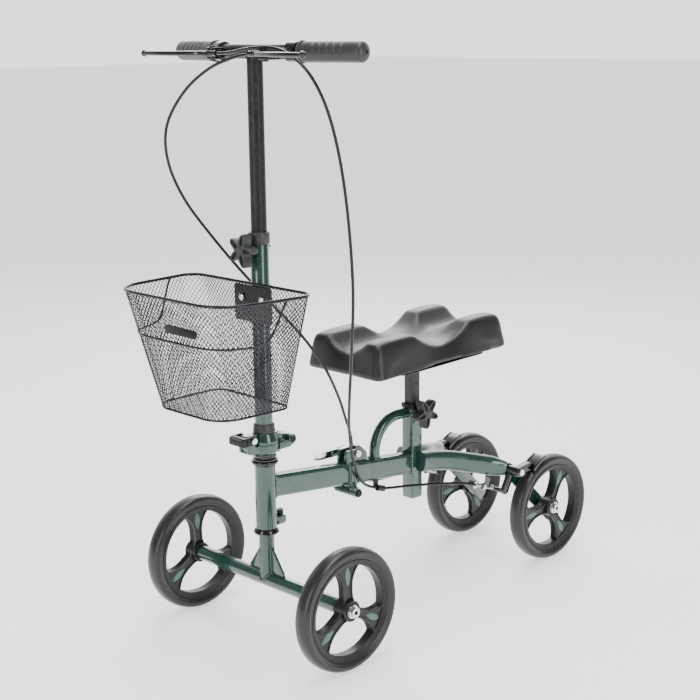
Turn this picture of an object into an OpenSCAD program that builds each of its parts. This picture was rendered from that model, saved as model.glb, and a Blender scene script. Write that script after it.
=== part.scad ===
// Knee scooter: a folding four-wheeled frame with a padded knee rest, a steered front axle,
// a folding and height-adjusted stem, hand brakes on the rear wheels and a wire basket.
// X points forwards, Y to the rider's left and Z up; the origin is on the floor, under the middle.

/* [Overall] */
// Distance from the front axle to the rear axle
wheelbase = 608; // [500:1:740]
// Outside diameter of the tyres
wheel_d = 200; // [160:1:250]
// Height of the handlebar's axis above the axles
bar_rise = 850; // [700:1:1030]
// Distance between the middles of the front tyres
front_track = 372; // [300:1:450]
// Distance between the middles of the rear tyres
rear_track = 208; // [170:1:250]

/* [Wheels] */
// Width of a tyre
tyre_w = 29; // [22:1:36]
// Depth of the tyre from tread to rim
tyre_h = 17; // [12:1:22]
// Width of the rim
rim_w = 24; // [18:1:30]
// Width of the hub between its bearings' outer faces
hub_w = 30; // [24:1:40]
// Diameter of the hub
hub_d = 34; // [29:1:44]
// Diameter of the axle bolts
axle_d = 8; // [6:0.5:10]
// Outside diameter of a wheel bearing
bearing_d = 22; // [19:1:26]
// Width of a wheel bearing
bearing_w = 7; // [5:1:9]
// Number of spokes in a wheel
spokes = 3; // [3:1:6]
// Angle of a front wheel's first spoke, from forwards
front_spoke_turn = 87; // [0:1:120]
// Angle of a rear wheel's first spoke, from forwards
rear_spoke_turn = 116; // [0:1:120]

/* [Front frame] */
// Outside diameter of the head tube
head_d = 34; // [32:1:42]
// Height of the head tube's lower end above the axles
head_low = 89; // [75:1:100]
// Length of the head tube
head_len = 107; // [95:1:125]
// Outside diameter of the steerer tube
steerer_d = 25.4; // [22:0.1:27]
// Outside diameter of the front axle beam
axle_beam_d = 25; // [20:1:30]
// Height of the main beam's section
beam_h = 38; // [32:1:45]
// Width of the main beam's section
beam_w = 25; // [20:1:30]
// Wall of the frame's tubes
tube_wall = 2; // [1.5:0.1:3]
// Height of the main beam's axis above the axles, at the steering axis
beam_rise = 159; // [145:1:170]
// Downward slope of the main beam towards the rear, in degrees
beam_pitch = 6; // [3:0.5:8]
// Distance of the frame's folding joint behind the steering axis
joint_back = 186; // [150:1:225]

/* [Stem] */
// Outside diameter of the lower stem tube
stem_d = 29; // [28:0.5:34]
// Outside diameter of the sliding upper tube
slider_d = 25; // [21:0.1:25]
// Height of the lower stem tube's top end above the axles
stem_top = 570; // [500:1:620]
// Height of the stem's folding plane above the axles
fold_rise = 233; // [220:1:245]
// Distance of the stem's folding pin behind the steering axis
fold_back = 45; // [40:1:55]
// Outside diameter of the handlebar
bar_d = 22.2; // [19:0.1:25]
// Overall width of the handlebar over its grips
bar_w = 428; // [360:1:520]
// Backward sweep of the handlebar's ends, in degrees
bar_sweep = 10; // [0:1:15]
// Outside diameter of the grips
grip_d = 31; // [28:1:36]
// Length of a grip
grip_len = 118; // [90:1:130]
// Diameter of the star knobs
knob_d = 56; // [46:1:68]
// Thickness of the star knobs
knob_t = 17; // [12:1:20]

/* [Basket] */
// Width of the basket's rim at the back
basket_w = 296; // [240:1:350]
// Width of the basket's rim at the front
basket_front_w = 260; // [210:1:300]
// Depth of the basket's rim, back to front
basket_len = 173; // [140:1:210]
// Height of the basket
basket_h = 185; // [150:1:220]
// Height of the basket's rim above the axles
basket_rise = 495; // [460:1:540]
// Thickness of the basket's wall
basket_wall = 1.6; // [1:0.1:3]
// Diameter of the rim wire
rim_wire_d = 5; // [3:0.5:7]

/* [Knee rest] */
// Length of the knee pad
pad_len = 338; // [280:1:400]
// Width of the knee pad at its base
pad_w = 186; // [155:1:220]
// Height of the knee pad at its ridges
pad_h = 62; // [50:1:74]
// Height of the pad's underside above the axles
pad_rise = 319; // [300:1:350]
// Rise of the pad towards the rear, in degrees
pad_tilt = 1.5; // [0:0.5:3]
// Distance of the seat tube's axis behind the steering axis
seat_back = 347; // [300:1:390]
// Outside width of the square seat tube
seat_tube_w = 26; // [24:0.5:30]
// Outside width of the square seat post
post_w = 20; // [16:0.5:20]

/* [Rear frame and brakes] */
// Height of the rear arms' section
arm_h = 36; // [28:1:42]
// Width of the rear arms' section
arm_w = 24; // [18:1:28]
// Bending radius of the arch tube
arch_r = 58; // [45:1:70]
// Outside diameter of the arch tube
arch_d = 19; // [16:1:24]
// Width of the flat drop-out bars
dropout_w = 25; // [20:1:32]
// Thickness of the drop-out bars
dropout_t = 6; // [4:1:8]
// Distance of the brake pivots outside the tyre tread
brake_out = 32; // [27:1:40]
// Turn of a brake arm from released to full pull, in degrees
brake_turn = 4; // [2:0.5:5]
// Gap left between the shoe and the tyre at full pull
shoe_gap = 0.5; // [0.3:0.1:1]
// Diameter of the brake cables
cable_d = 5; // [4:0.5:6]

/* [Fits] */
// Radial clearance of pins, axles and bearings that turn
fit = 0.05; // [0.02:0.01:0.1]
// Gap between moving parts that pass each other
slack = 0.3; // [0.3:0.05:0.5]

/* [Hidden] */
$fn = 48;

green = [0.10, 0.20, 0.17];
black = [0.03, 0.03, 0.035];
dark = [0.13, 0.13, 0.14];
chrome = [0.78, 0.79, 0.80];

// Places along X: the steering axis, the rear axle, the seat tube and the frame's joint
bracket_t = 2.5;
basket_back = stem_d / 2 + bracket_t;
basket_front = basket_back + basket_len + rim_wire_d / 2;
stem_x = (wheelbase + wheel_d / 2 - basket_front) / 2;
rear_x = stem_x - wheelbase;
seat_x = stem_x - seat_back;
joint_x = stem_x - joint_back;
axle_z = wheel_d / 2;

// Heights above the floor
head_z = axle_z + head_low;
head_top = head_z + head_len;
fold_z = axle_z + fold_rise;
fold_x = stem_x - fold_back;
bar_z = axle_z + bar_rise;
stem_top_z = axle_z + stem_top;
rim_z = axle_z + basket_rise;
pad_z = axle_z + pad_rise;

// The main beam's axis at a place along X
function beam_z(x) = axle_z + beam_rise - (stem_x - x) * tan(beam_pitch);
beam_half = beam_h / 2 / cos(beam_pitch);

// Headset and steerer
cup_h = 8;
cup_d = head_d + 11;
race_h = 3;
bearing_h = 8;
head_bore = head_d - 2 * tube_wall;
locknut_top = fold_z - 17;

// The two hinges: knuckle diameter, pin diameter, half widths
knuckle_d = 16;
pin_d = 8;
knuckle_in = 10;
hinge_half = 26.5;
fold_half = 19;
hinge_z = axle_z + 108;
flange_t = 7;
flange_half = 17;
joint_gap = 0.3;
flange_low = hinge_z + knuckle_d / 2 + 0.6;
beam_top = beam_z(joint_x) + beam_half;

// Quick-release latches
skewer_d = 6;
ear_in = 6.4;
ear_out = 12;
latch_x = joint_x - 11;
latch_z = beam_top + 15;
clamp_x = stem_x + 37;
clamp_z = fold_z + 13;
clamp_d = 46;
clamp_low = fold_z - 17;
clamp_high = fold_z + 18;

// Knobs
knob_z = axle_z + stem_top - 21;
seat_top = axle_z + 231;
seat_low = axle_z + 59;
seat_knob_z = axle_z + 219;
knob_bolt_d = 6;
boss_d = 16;
boss_h = 8;

// Brakes, in the plane of a rear wheel and counted from its axle
pivot_r = wheel_d / 2 + brake_out;
pivot_a = 42.9;
pivot_x = rear_x + pivot_r * cos(pivot_a);
pivot_z = axle_z + pivot_r * sin(pivot_a);
brake_pin_d = 6;
anchor_r = wheel_d / 2 + 28;
anchor_a = 25;
shoe_t = 5;
shoe_a = [54, 76];
adjust_x = rear_x + anchor_r * cos(anchor_a) + 35;
adjust_z = axle_z + anchor_r * sin(anchor_a) + 12.9;

// Across the wheels
front_y = front_track / 2;
rear_y = rear_track / 2;
spacer = 1.5;
beam_end = front_y - hub_w / 2 - spacer;
dropout_out = rear_y - hub_w / 2 - spacer;
dropout_in = dropout_out - dropout_t;

// Handlebar and levers
bend_y = 55;
bar_end = (bar_w / 2 - bend_y) / cos(bar_sweep) + bend_y;
mount_y = 84;
lever_x = stem_x + 32;
lever_y = 62;
lever_z = bar_z - 2;
lever_len = 128;

// Basket bracket, beam end and seat post
bracket_h = 60;
bracket_low = rim_z - rim_wire_d / 2 - 0.5 - bracket_h;
bolt_y = 24;
bolt_z = rim_z - 24;
seat_front = seat_x + seat_tube_w / 2;
post_top = pad_z - 4;
arch_top = axle_z + 218;

// Places where the cables run, from the steering axis at the floor, counted with 200 mm wheels
cable_left_points = [
    [44, -40, 948], [46, 0, 950], [48, 45, 956], [46, 90, 957], [41, 128, 946], [33, 160, 918],
    [22, 182, 870], [8, 192, 800], [-4, 196, 710], [-20, 188, 600], [-52, 150, 490],
    [-90, 105, 400], [-130, 63, 335], [-170, 31, 270], [-203, 18, 222], [-245, 20, 202],
    [-300, 27, 194], [-360, 44, 188], [-415, 62, 180], [-452, 71, 169]
];
cable_right_points = [
    [44, 40, 948], [47, 5, 942], [52, -45, 926], [58, -95, 895], [60, -137, 852], [57, -156, 812],
    [46, -160, 765], [28, -148, 715], [2, -130, 668], [-32, -98, 608], [-52, -40, 552],
    [-76, 8, 500], [-112, 22, 445], [-155, 10, 385], [-186, -4, 335], [-208, -14, 296],
    [-216, -19, 262], [-226, -22, 222], [-262, -26, 202], [-320, -36, 192], [-390, -54, 184],
    [-452, -71, 169]
];

module right_side() {
    mirror([0, 1, 0]) children();
}

module both_sides() {
    children();
    right_side() children();
}

module ybar(d, y0, y1) {
    translate([0, y0, 0]) rotate([-90, 0, 0]) cylinder(d = d, h = y1 - y0);
}

module xbar(d, x0, x1) {
    translate([x0, 0, 0]) rotate([0, 90, 0]) cylinder(d = d, h = x1 - x0);
}

module ring(d, bore, h) {
    difference() {
        cylinder(d = d, h = h);
        translate([0, 0, -1]) cylinder(d = bore, h = h + 2);
    }
}

// A ring with a chamfered or rounded outer edge
module soft_ring(d, bore, h, edge) {
    rotate_extrude() polygon([
        [bore / 2, 0], [d / 2 - edge, 0], [d / 2, edge], [d / 2, h - edge], [d / 2 - edge, h],
        [bore / 2, h]
    ]);
}

// A flat rectangle with rounded corners, centred
module round_rect(w, h, r) {
    square([w - 2 * r, h], center = true);
    square([w, h - 2 * r], center = true);
    for (x = [-1, 1], y = [-1, 1])
        translate([x * (w / 2 - r), y * (h / 2 - r)]) circle(r = r);
}

// The main beam's section, run from ahead of the steering axis to behind the seat tube
module beam_run(grow) {
    translate([stem_x, 0, axle_z + beam_rise]) rotate([0, -90 - beam_pitch, 0])
        translate([0, 0, -60]) linear_extrude(seat_back + 120)
            round_rect(beam_h + grow, beam_w + grow, 6 + grow / 2);
}

module between_x(x0, x1) {
    intersection() {
        children();
        translate([x0, -100, 0]) cube([x1 - x0, 200, 1000]);
    }
}

// A plate across the beam, with its foot widened for the hinge
module joint_plate(x, foot) {
    translate([x, 0, 0]) rotate([90, 0, 90]) linear_extrude(flange_t) polygon([
        [-flange_half + 5, beam_top + 3], [flange_half - 5, beam_top + 3],
        [flange_half, beam_top - 3], [flange_half, flange_low + 10], [foot, flange_low],
        [-foot, flange_low], [-flange_half, flange_low + 10], [-flange_half, beam_top - 3]
    ]);
}

module knuckle(x, z, y0, y1, neck_x0, neck_x1, neck_z0, neck_z1) {
    translate([x, 0, z]) ybar(knuckle_d, y0, y1);
    translate([neck_x0, y0, neck_z0]) cube([neck_x1 - neck_x0, y1 - y0, neck_z1 - neck_z0]);
}

module front_frame() {
    lug_x = stem_x - head_d / 2 - 19;
    color(green) difference() {
        union() {
            translate([stem_x, 0, head_z]) cylinder(d = head_d, h = head_len);
            between_x(joint_x + 1, stem_x) beam_run(0);
            joint_plate(joint_x, flange_half + 6);
            both_sides() {
                knuckle(joint_x, hinge_z, knuckle_in, hinge_half,
                        joint_x, joint_x + flange_t, hinge_z, flange_low + 1);
                translate([joint_x - 20, ear_in, beam_top + 3.6])
                    cube([34, ear_out - ear_in, 19]);
                translate([joint_x, ear_in, beam_top - 4])
                    cube([14, ear_out - ear_in, 10]);
            }
            translate([lug_x, -9, head_z + 1]) cube([24, 18, 14]);
        }
        translate([stem_x, 0, head_z - 1]) cylinder(d = head_bore, h = head_len + 2);
        between_x(joint_x + flange_t, stem_x - head_d / 2 + 1) beam_run(-2 * tube_wall);
        translate([joint_x, 0, hinge_z]) ybar(pin_d, -hinge_half - 1, hinge_half + 1);
        translate([joint_x - 10, -knuckle_in, hinge_z - 10])
            cube([20, 2 * knuckle_in, 10 + flange_low - hinge_z]);
        translate([latch_x, 0, latch_z]) ybar(skewer_d, -ear_out - 1, ear_out + 1);
        translate([lug_x + 6, 0, head_z]) cylinder(d = 6, h = 30);
        translate([lug_x - 1, -1, head_z]) cube([16, 2, 30]);
    }
}

module headset_cups() {
    color(black) {
        translate([stem_x, 0, head_top])
            soft_ring(cup_d, steerer_d + 2 * slack, cup_h, 2);
        translate([stem_x, 0, head_z - cup_h])
            soft_ring(cup_d - 3, steerer_d + 2 * slack, cup_h, 2);
    }
}

module headset_bearings() {
    color(chrome) for (z = [head_z, head_top - bearing_h])
        translate([stem_x, 0, z]) ring(head_bore, steerer_d + 2 * fit, bearing_h);
}

module cap_screw(d, head, len, head_h) {
    translate([0, 0, -len]) cylinder(d = d, h = len);
    difference() {
        cylinder(d = head, h = head_h);
        translate([0, 0, head_h / 2]) cylinder(d = head * 0.55, h = head_h, $fn = 6);
    }
}

module lug_screw() {
    color(black) translate([stem_x - head_d / 2 - 13, 0, head_z + 15]) cap_screw(6, 11, 12, 9);
}

module frame_hinge_pin() {
    color(dark) difference() {
        translate([joint_x, 0, hinge_z]) union() {
            ybar(pin_d, -hinge_half - 0.5, hinge_half + 0.5);
            both_sides() ybar(pin_d + 5, hinge_half, hinge_half + 2.5);
        }
        translate([joint_x, 0, hinge_z]) both_sides() ybar(4, hinge_half + 1, hinge_half + 4);
    }
}

// A quick-release rod with its nut on one side and an eye with a cross pin on the other
module latch_skewer() {
    eye_y = -ear_out - 7;
    color(chrome) translate([latch_x, 0, latch_z]) {
        ybar(skewer_d, eye_y, ear_out + 7);
        translate([0, 0, -2.8]) translate([0, eye_y, 0]) cylinder(r = 4.5, h = 5.6);
        translate([0, eye_y, -7]) cylinder(d = 4, h = 14);
        translate([0, ear_out, 0]) rotate([-90, 0, 0]) cylinder(d = 12, h = 5, $fn = 6);
    }
}

module latch_lever() {
    eye_y = -ear_out - 7;
    color(chrome) translate([latch_x, eye_y, latch_z]) difference() {
        union() {
            translate([0, 0, -6.5]) cylinder(r = 6.2, h = 13);
            translate([0, -2.5, -6.5]) cube([58, 5, 13]);
            translate([58, 2.5, -6.5]) mirror([0, 1, 0]) cube([8, 5, 13]);
        }
        translate([0, 0, -10]) cylinder(d = 4 + 2 * fit, h = 20);
        translate([0, 0, -3.3]) cylinder(r = 7.5, h = 6.6);
        translate([-12, -8, -3.3]) cube([12, 20, 6.6]);
    }
}

module front_fork() {
    gusset_h = 45;
    color(green) difference() {
        union() {
            translate([stem_x, 0, axle_z]) cylinder(d = steerer_d, h = fold_rise - 1);
            translate([stem_x, 0, axle_z]) ybar(axle_beam_d, -beam_end, beam_end);
            both_sides() translate([stem_x - 2.5, 0, axle_z]) rotate([90, 0, 90])
                linear_extrude(5) polygon([
                    [0, 0], [steerer_d / 2 + 28, 0], [steerer_d / 2 + 28, axle_beam_d / 2 + 4],
                    [steerer_d / 2, axle_beam_d / 2 + gusset_h], [0, axle_beam_d / 2 + gusset_h]
                ]);
            translate([stem_x, 0, head_z - cup_h - slack - race_h])
                cylinder(d = head_d + 2, h = race_h);
        }
        translate([stem_x, 0, axle_z + 20])
            cylinder(d = steerer_d - 2 * tube_wall, h = fold_rise);
        both_sides() translate([stem_x, 0, axle_z]) {
            ybar(axle_beam_d - 2 * tube_wall, 16, beam_end - 24);
            ybar(axle_d, beam_end - 25, beam_end + 1);
        }
    }
}

module headset_locknuts() {
    z0 = head_top + cup_h + slack;
    gap = locknut_top - z0;
    color(black) translate([stem_x, 0, z0]) {
        soft_ring(cup_d - 5, steerer_d, gap * 0.4, 1);
        translate([0, 0, gap * 0.4]) soft_ring(cup_d - 11, steerer_d, gap * 0.25, 0.5);
        translate([0, 0, gap * 0.65]) soft_ring(cup_d - 7, steerer_d, gap * 0.35, 1);
    }
}

// The fixed half of the stem's folding clamp, on the steerer
module clamp_base() {
    split = fold_z - joint_gap / 2;
    color(green) difference() {
        union() {
            translate([stem_x, 0, clamp_low]) cylinder(d1 = clamp_d - 6, d2 = clamp_d, h = 5);
            translate([stem_x, 0, clamp_low + 5]) cylinder(d = clamp_d, h = split - clamp_low - 5);
            translate([stem_x, -ear_out, clamp_low + 4])
                cube([44, 2 * ear_out, split - clamp_low - 4]);
            both_sides() {
                translate([stem_x + 30, ear_in, split - 1]) cube([14, ear_out - ear_in, 19]);
                knuckle(fold_x, fold_z, knuckle_in, fold_half,
                        fold_x, stem_x - clamp_d / 2 + 8, fold_z - 12, split);
            }
        }
        translate([stem_x, 0, clamp_low - 1]) cylinder(d = steerer_d, h = 60);
        translate([fold_x, 0, fold_z]) ybar(pin_d, -fold_half - 1, fold_half + 1);
        translate([fold_x - 10, -knuckle_in, fold_z - 20]) cube([19, 2 * knuckle_in, 40]);
        translate([clamp_x, 0, clamp_z]) ybar(skewer_d, -ear_out - 1, ear_out + 1);
    }
}

module stem_fold_pin() {
    color(dark) translate([fold_x, 0, fold_z]) {
        ybar(pin_d, -fold_half - 0.5, fold_half + 0.5);
        both_sides() ybar(pin_d + 4, fold_half, fold_half + 2);
    }
}

module clamp_skewer() {
    color(chrome) translate([clamp_x, 0, clamp_z]) {
        ybar(skewer_d, -ear_out - 7, ear_out + 7);
        both_sides() ybar(skewer_d + 5, ear_out + 6.5, ear_out + 9);
    }
}

// The clamp's fork-shaped lever, turning on the rod outside the ears
module clamp_lever() {
    arm_y = ear_out + slack;
    color(black) translate([clamp_x, 0, clamp_z]) difference() {
        union() {
            both_sides() {
                ybar(15, arm_y, arm_y + 5.5);
                translate([0, arm_y, -6]) cube([15, 5.5, 12]);
            }
            translate([12, -arm_y - 5.5, -8]) cube([11.5, 2 * arm_y + 11, 15]);
        }
        ybar(skewer_d + 2 * fit, -30, 30);
    }
}

module axle_bolt(y_head, y_tip) {
    difference() {
        union() {
            ybar(axle_d, y_tip, y_head);
            ybar(axle_d + 8, y_head, y_head + 5);
            ybar(axle_d + 12, y_head - 1.4, y_head);
        }
        translate([0, y_head + 2, 0]) rotate([-90, 0, 0]) cylinder(d = axle_d, h = 9, $fn = 6);
    }
}

module front_axle_bolts() {
    color(chrome) translate([stem_x, 0, axle_z]) both_sides() {
        axle_bolt(front_y + hub_w / 2 + slack + 1.4, beam_end - 20);
        difference() {
            ybar(axle_d + 5, beam_end, front_y - hub_w / 2);
            ybar(axle_d, beam_end - 1, front_y);
        }
    }
}

// The folding half of the clamp, on the lower stem tube
module clamp_top() {
    split = fold_z + joint_gap / 2;
    color(green) difference() {
        union() {
            translate([stem_x, 0, split]) cylinder(d = clamp_d, h = 6);
            translate([stem_x, 0, split + 6])
                cylinder(d1 = clamp_d, d2 = stem_d + 8, h = clamp_high - split - 6);
            translate([stem_x, -ear_in + 0.6, split])
                cube([44, 2 * ear_in - 1.2, clamp_high - split]);
            translate([stem_x + stem_d / 2 + 4.5, -ear_in + 0.6, split])
                cube([39.5 - stem_d / 2, 2 * ear_in - 1.2, 19]);
            knuckle(fold_x, fold_z, -knuckle_in + slack, knuckle_in - slack,
                    fold_x, stem_x - clamp_d / 2 + 8, split, fold_z + 8);
        }
        translate([stem_x, 0, split + 3]) cylinder(d = stem_d, h = 60);
        translate([stem_x, 0, split - 1]) cylinder(d = stem_d - 8, h = 10);
        translate([fold_x, 0, fold_z]) ybar(pin_d + 2 * fit, -fold_half, fold_half);
        translate([clamp_x + 0.6, 0, clamp_z]) ybar(9.6, -20, 20);
        translate([clamp_x - 4.2, -20, split - 1]) cube([9.6, 40, clamp_z - split + 1]);
    }
}

module lower_stem() {
    base = fold_z + joint_gap / 2 + 3;
    color(green) difference() {
        union() {
            translate([stem_x, 0, base]) cylinder(d = stem_d, h = stem_top_z - base);
            translate([stem_x, 0, knob_z]) xbar(boss_d, 0, stem_d / 2 + boss_h);
        }
        translate([stem_x, 0, base - 1]) cylinder(d = slider_d + 2 * slack, h = stem_top_z);
        translate([stem_x, 0, knob_z]) xbar(knob_bolt_d + 2 * fit, 0, stem_d);
    }
}

module stem_collars() {
    color(black) {
        translate([stem_x, 0, clamp_high]) soft_ring(stem_d + 7, stem_d, 15, 3);
        difference() {
            translate([stem_x, 0, stem_top_z - 14]) soft_ring(stem_d + 4.6, stem_d, 18, 1.5);
            translate([stem_x, 0, knob_z]) xbar(boss_d, 0, stem_d);
        }
        translate([stem_x, 0, stem_top_z])
            soft_ring(stem_d + 4.6, slider_d + 2 * slack, 5, 1.5);
    }
}

module stem_nut() {
    color(chrome) translate([stem_x, 0, knob_z]) difference() {
        union() {
            xbar(10, -stem_d / 2 - 5, -stem_d / 4);
            translate([-stem_d / 2 - 5, 0, 0]) sphere(d = 8);
        }
        translate([0, 0, -20]) cylinder(d = stem_d, h = 40);
    }
}

// A five-lobed star knob with its screw, pointing along +Z from the screw's tip at the origin
module star_knob(tip, start) {
    color(dark) {
        translate([0, 0, start]) difference() {
            union() {
                cylinder(d = knob_d * 0.52, h = knob_t);
                for (a = [0:72:359]) rotate([0, 0, a]) {
                    translate([knob_d * 0.36, 0, 0]) cylinder(d = knob_d * 0.27, h = knob_t);
                    translate([0, -knob_d * 0.11, 0]) cube([knob_d * 0.36, knob_d * 0.22, knob_t]);
                }
            }
            translate([0, 0, knob_t - 4]) cylinder(d = knob_d * 0.3, h = 5);
        }
        translate([0, 0, start - 2]) cylinder(d = knob_d * 0.34, h = 2.5);
    }
    color(chrome) translate([0, 0, tip]) cylinder(d = knob_bolt_d, h = start - tip);
}

module stem_knob() {
    translate([stem_x, 0, knob_z]) rotate([0, 90, 0]) rotate([0, 0, 18])
        star_knob(slider_d / 2 + slack, stem_d / 2 + boss_h + 2 + slack);
}

module basket_bracket() {
    color(black) difference() {
        union() {
            translate([stem_x + stem_d / 2, -44, bracket_low])
                cube([bracket_t, 88, bracket_h]);
            translate([stem_x + stem_d / 2 - 9, -17, bracket_low]) cube([9, 34, bracket_h]);
            translate([stem_x, 0, bracket_low]) cylinder(d = stem_d + 5, h = bracket_h);
        }
        translate([stem_x, 0, 0]) cylinder(d = stem_d, h = 1000);
        for (y = [-bolt_y, bolt_y]) translate([stem_x, y, bolt_z]) xbar(6, 0, 40);
    }
}

module basket_bolts() {
    x0 = stem_x + stem_d / 2;
    color(chrome) for (y = [-bolt_y, bolt_y]) translate([0, y, bolt_z]) {
        xbar(6, x0 - 6, x0 + 5);
        xbar(11, x0 - 5, x0);
        translate([stem_x + basket_back + basket_wall, 0, 0]) rotate([0, 90, 0])
            rotate_extrude() polygon([[0, -1], [2, -1], [2, 0], [6, 0], [5.4, 2], [3, 3.6], [0, 4]]);
    }
}

// The basket's outline: rounded corners at the back and at the front, in a thin slice
module basket_slice(back_w, front_w, len, r_back, r_front, inset) {
    for (y = [-1, 1]) {
        translate([r_back, y * (back_w / 2 - r_back), 0])
            cylinder(r = r_back - inset, h = 0.4, $fn = 24);
        translate([len - r_front, y * (front_w / 2 - r_front), 0])
            cylinder(r = r_front - inset, h = 0.4, $fn = 32);
    }
}

module basket_form(inset, low, rise) {
    hull() {
        translate([0, 0, rise - rim_wire_d / 2 - 0.4])
            basket_slice(basket_w, basket_front_w, basket_len, 26, 58, inset);
        translate([0, 0, low - basket_h])
            basket_slice(basket_w * 0.6, basket_front_w * 0.64, basket_len * 0.81, 20, 42, inset);
    }
}

module basket() {
    color(black) translate([stem_x + basket_back, 0, rim_z]) difference() {
        basket_form(0, 0, 0);
        basket_form(basket_wall, basket_wall, 0.5);
        for (y = [-bolt_y, bolt_y]) translate([0, y, bolt_z - rim_z]) xbar(6, -1, 4);
    }
}

// The rim's outline, grown outwards by the rim wire's radius or shrunk by it
module rim_outline(grow) {
    hull() for (y = [-1, 1]) {
        translate([26, y * (basket_w / 2 - 26)]) circle(r = 26 + grow, $fn = 32);
        translate([basket_len - 58, y * (basket_front_w / 2 - 58)]) circle(r = 58 + grow, $fn = 48);
    }
}

module basket_rim() {
    color(black) translate([stem_x + basket_back, 0, rim_z - rim_wire_d / 2])
        linear_extrude(rim_wire_d) difference() {
            rim_outline(rim_wire_d / 2);
            rim_outline(-rim_wire_d / 2);
        }
}

// Turns what lies along the Y axis to lie along the swept end of the handlebar
module on_bar_end() {
    translate([stem_x, bend_y, bar_z]) rotate([0, 0, bar_sweep]) translate([0, -bend_y, 0])
        children();
}

module handlebar() {
    low = bar_z - bar_rise + stem_top - 150;
    color(black) difference() {
        union() {
            translate([stem_x, 0, bar_z]) ybar(bar_d, -bend_y, bend_y);
            both_sides() {
                translate([stem_x, bend_y, bar_z]) sphere(d = bar_d + 0.6);
                on_bar_end() ybar(bar_d, bend_y, bar_end - 4);
            }
            translate([stem_x, 0, low]) cylinder(d = slider_d, h = bar_z - low);
        }
        translate([stem_x, 0, low - 1]) cylinder(d = slider_d - 2 * tube_wall, h = bar_z - low - 20);
    }
}

module grips() {
    color(dark) both_sides() on_bar_end() difference() {
        union() {
            translate([0, bar_end, 0]) rotate([90, 0, 0]) rotate_extrude() polygon(concat(
                [[0, 0], [grip_d / 2 - 9, 0], [grip_d / 2 - 4, 2], [grip_d / 2, 8]],
                [[grip_d / 2, grip_len - 8], [grip_d / 2 - 1, grip_len], [0, grip_len]]));
            ybar(grip_d + 3, bar_end - grip_len, bar_end - grip_len + 4);
        }
        ybar(bar_d, bar_end - grip_len - 1, bar_end - 4);
    }
}

module lever_mounts() {
    color(black) both_sides() difference() {
        union() {
            on_bar_end() ybar(bar_d + 8, mount_y - 9, mount_y + 9);
            translate([stem_x + 4, mount_y - 16, lever_z - 8]) cube([18, 22, 16]);
            translate([lever_x - 14, lever_y - 10, lever_z - 9]) cube([22, 30, 18]);
            translate([stem_x + 44, 0, lever_z]) ybar(9, 38, 54);
        }
        on_bar_end() ybar(bar_d, 0, 200);
        translate([lever_x - 9, lever_y - 12, lever_z - 4.4]) cube([45, 60, 8.8]);
        translate([stem_x + 44, 0, lever_z]) ybar(cable_d + 1.5, 30, 54);
        translate([lever_x, lever_y, lever_z - 20]) cylinder(d = 5, h = 40);
    }
}

module lever_pivots() {
    color(chrome) both_sides() {
        translate([lever_x, lever_y, lever_z - 9]) cylinder(d = 5, h = 18);
        translate([lever_x, lever_y, lever_z + 9]) cylinder(d = 9, h = 2.5);
        translate([lever_x, lever_y, lever_z - 11.5]) cylinder(d = 9, h = 2.5);
    }
}

// A flat curved blade with a round ball at its tip
module lever_blade() {
    tip_x = stem_x + 72 - lever_x;
    color(black) translate([lever_x, lever_y, lever_z]) difference() {
        union() {
            translate([0, 0, -4]) linear_extrude(8) polygon([
                [-5, -6], [5, -7], [17, -9], [24, 0], [31, 22], [tip_x - 4, 46],
                [tip_x + 3, lever_len * 0.7], [tip_x + 3, lever_len - 6], [tip_x - 7, lever_len - 6],
                [tip_x - 8, lever_len * 0.7], [tip_x - 16, 48], [18, 26], [6, 10], [-5, 6]
            ]);
            translate([tip_x - 2, lever_len - 6, 0]) sphere(d = 11);
        }
        translate([0, 0, -5]) cylinder(d = 5 + 2 * fit, h = 10);
    }
}

module brake_lever_left() { lever_blade(); }
module brake_lever_right() { right_side() lever_blade(); }

// A smooth curve through the points, cut into steps, and a tube swept along it
function curve_point(a, b, c, d, t) = 0.5 * (2 * b + (c - a) * t + (2 * a - 5 * b + 4 * c - d)
    * t * t + (3 * b - a - 3 * c + d) * t * t * t);
function spline(p, steps) = let(n = len(p) - 1) concat([for (i = [0:n - 1], k = [0:steps - 1])
    curve_point(p[max(i - 1, 0)], p[i], p[i + 1], p[min(i + 2, n)], k / steps)], [p[n]]);
function unit(v) = v / norm(v);
function run_way(path, i) = let(n = len(path) - 1)
    unit(path[min(i + 1, n)] - path[max(i - 1, 0)]);
function tube_ring(path, i, half_w, half_h, sides, up) = let(
    way = run_way(path, i), across = unit(cross(up, way)), over = cross(way, across))
    [for (k = [0:sides - 1]) let(a = 360 * (k + 0.5) / sides)
        path[i] + across * half_w * cos(a) + over * half_h * sin(a)];

module tube_along(path, half_w, half_h, sides, up) {
    n = len(path);
    points = [for (i = [0:n - 1]) each tube_ring(path, i, half_w, half_h, sides, up)];
    polyhedron(points, concat(
        [[for (k = [0:sides - 1]) k]],
        [[for (k = [sides - 1:-1:0]) (n - 1) * sides + k]],
        [for (i = [0:n - 2], k = [0:sides - 1]) let(m = (k + 1) % sides)
            [i * sides + k, (i + 1) * sides + k, (i + 1) * sides + m, i * sides + m]]));
}

module brake_cable(points) {
    shift = [stem_x, 0, axle_z - 100];
    color(black) tube_along([for (q = spline(points, 2)) q + shift],
                            cable_d / 2, cable_d / 2, 8, [0, 0.8, 0.6]);
}

module brake_cable_left() { brake_cable(cable_left_points); }
module brake_cable_right() { brake_cable(cable_right_points); }

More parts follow.
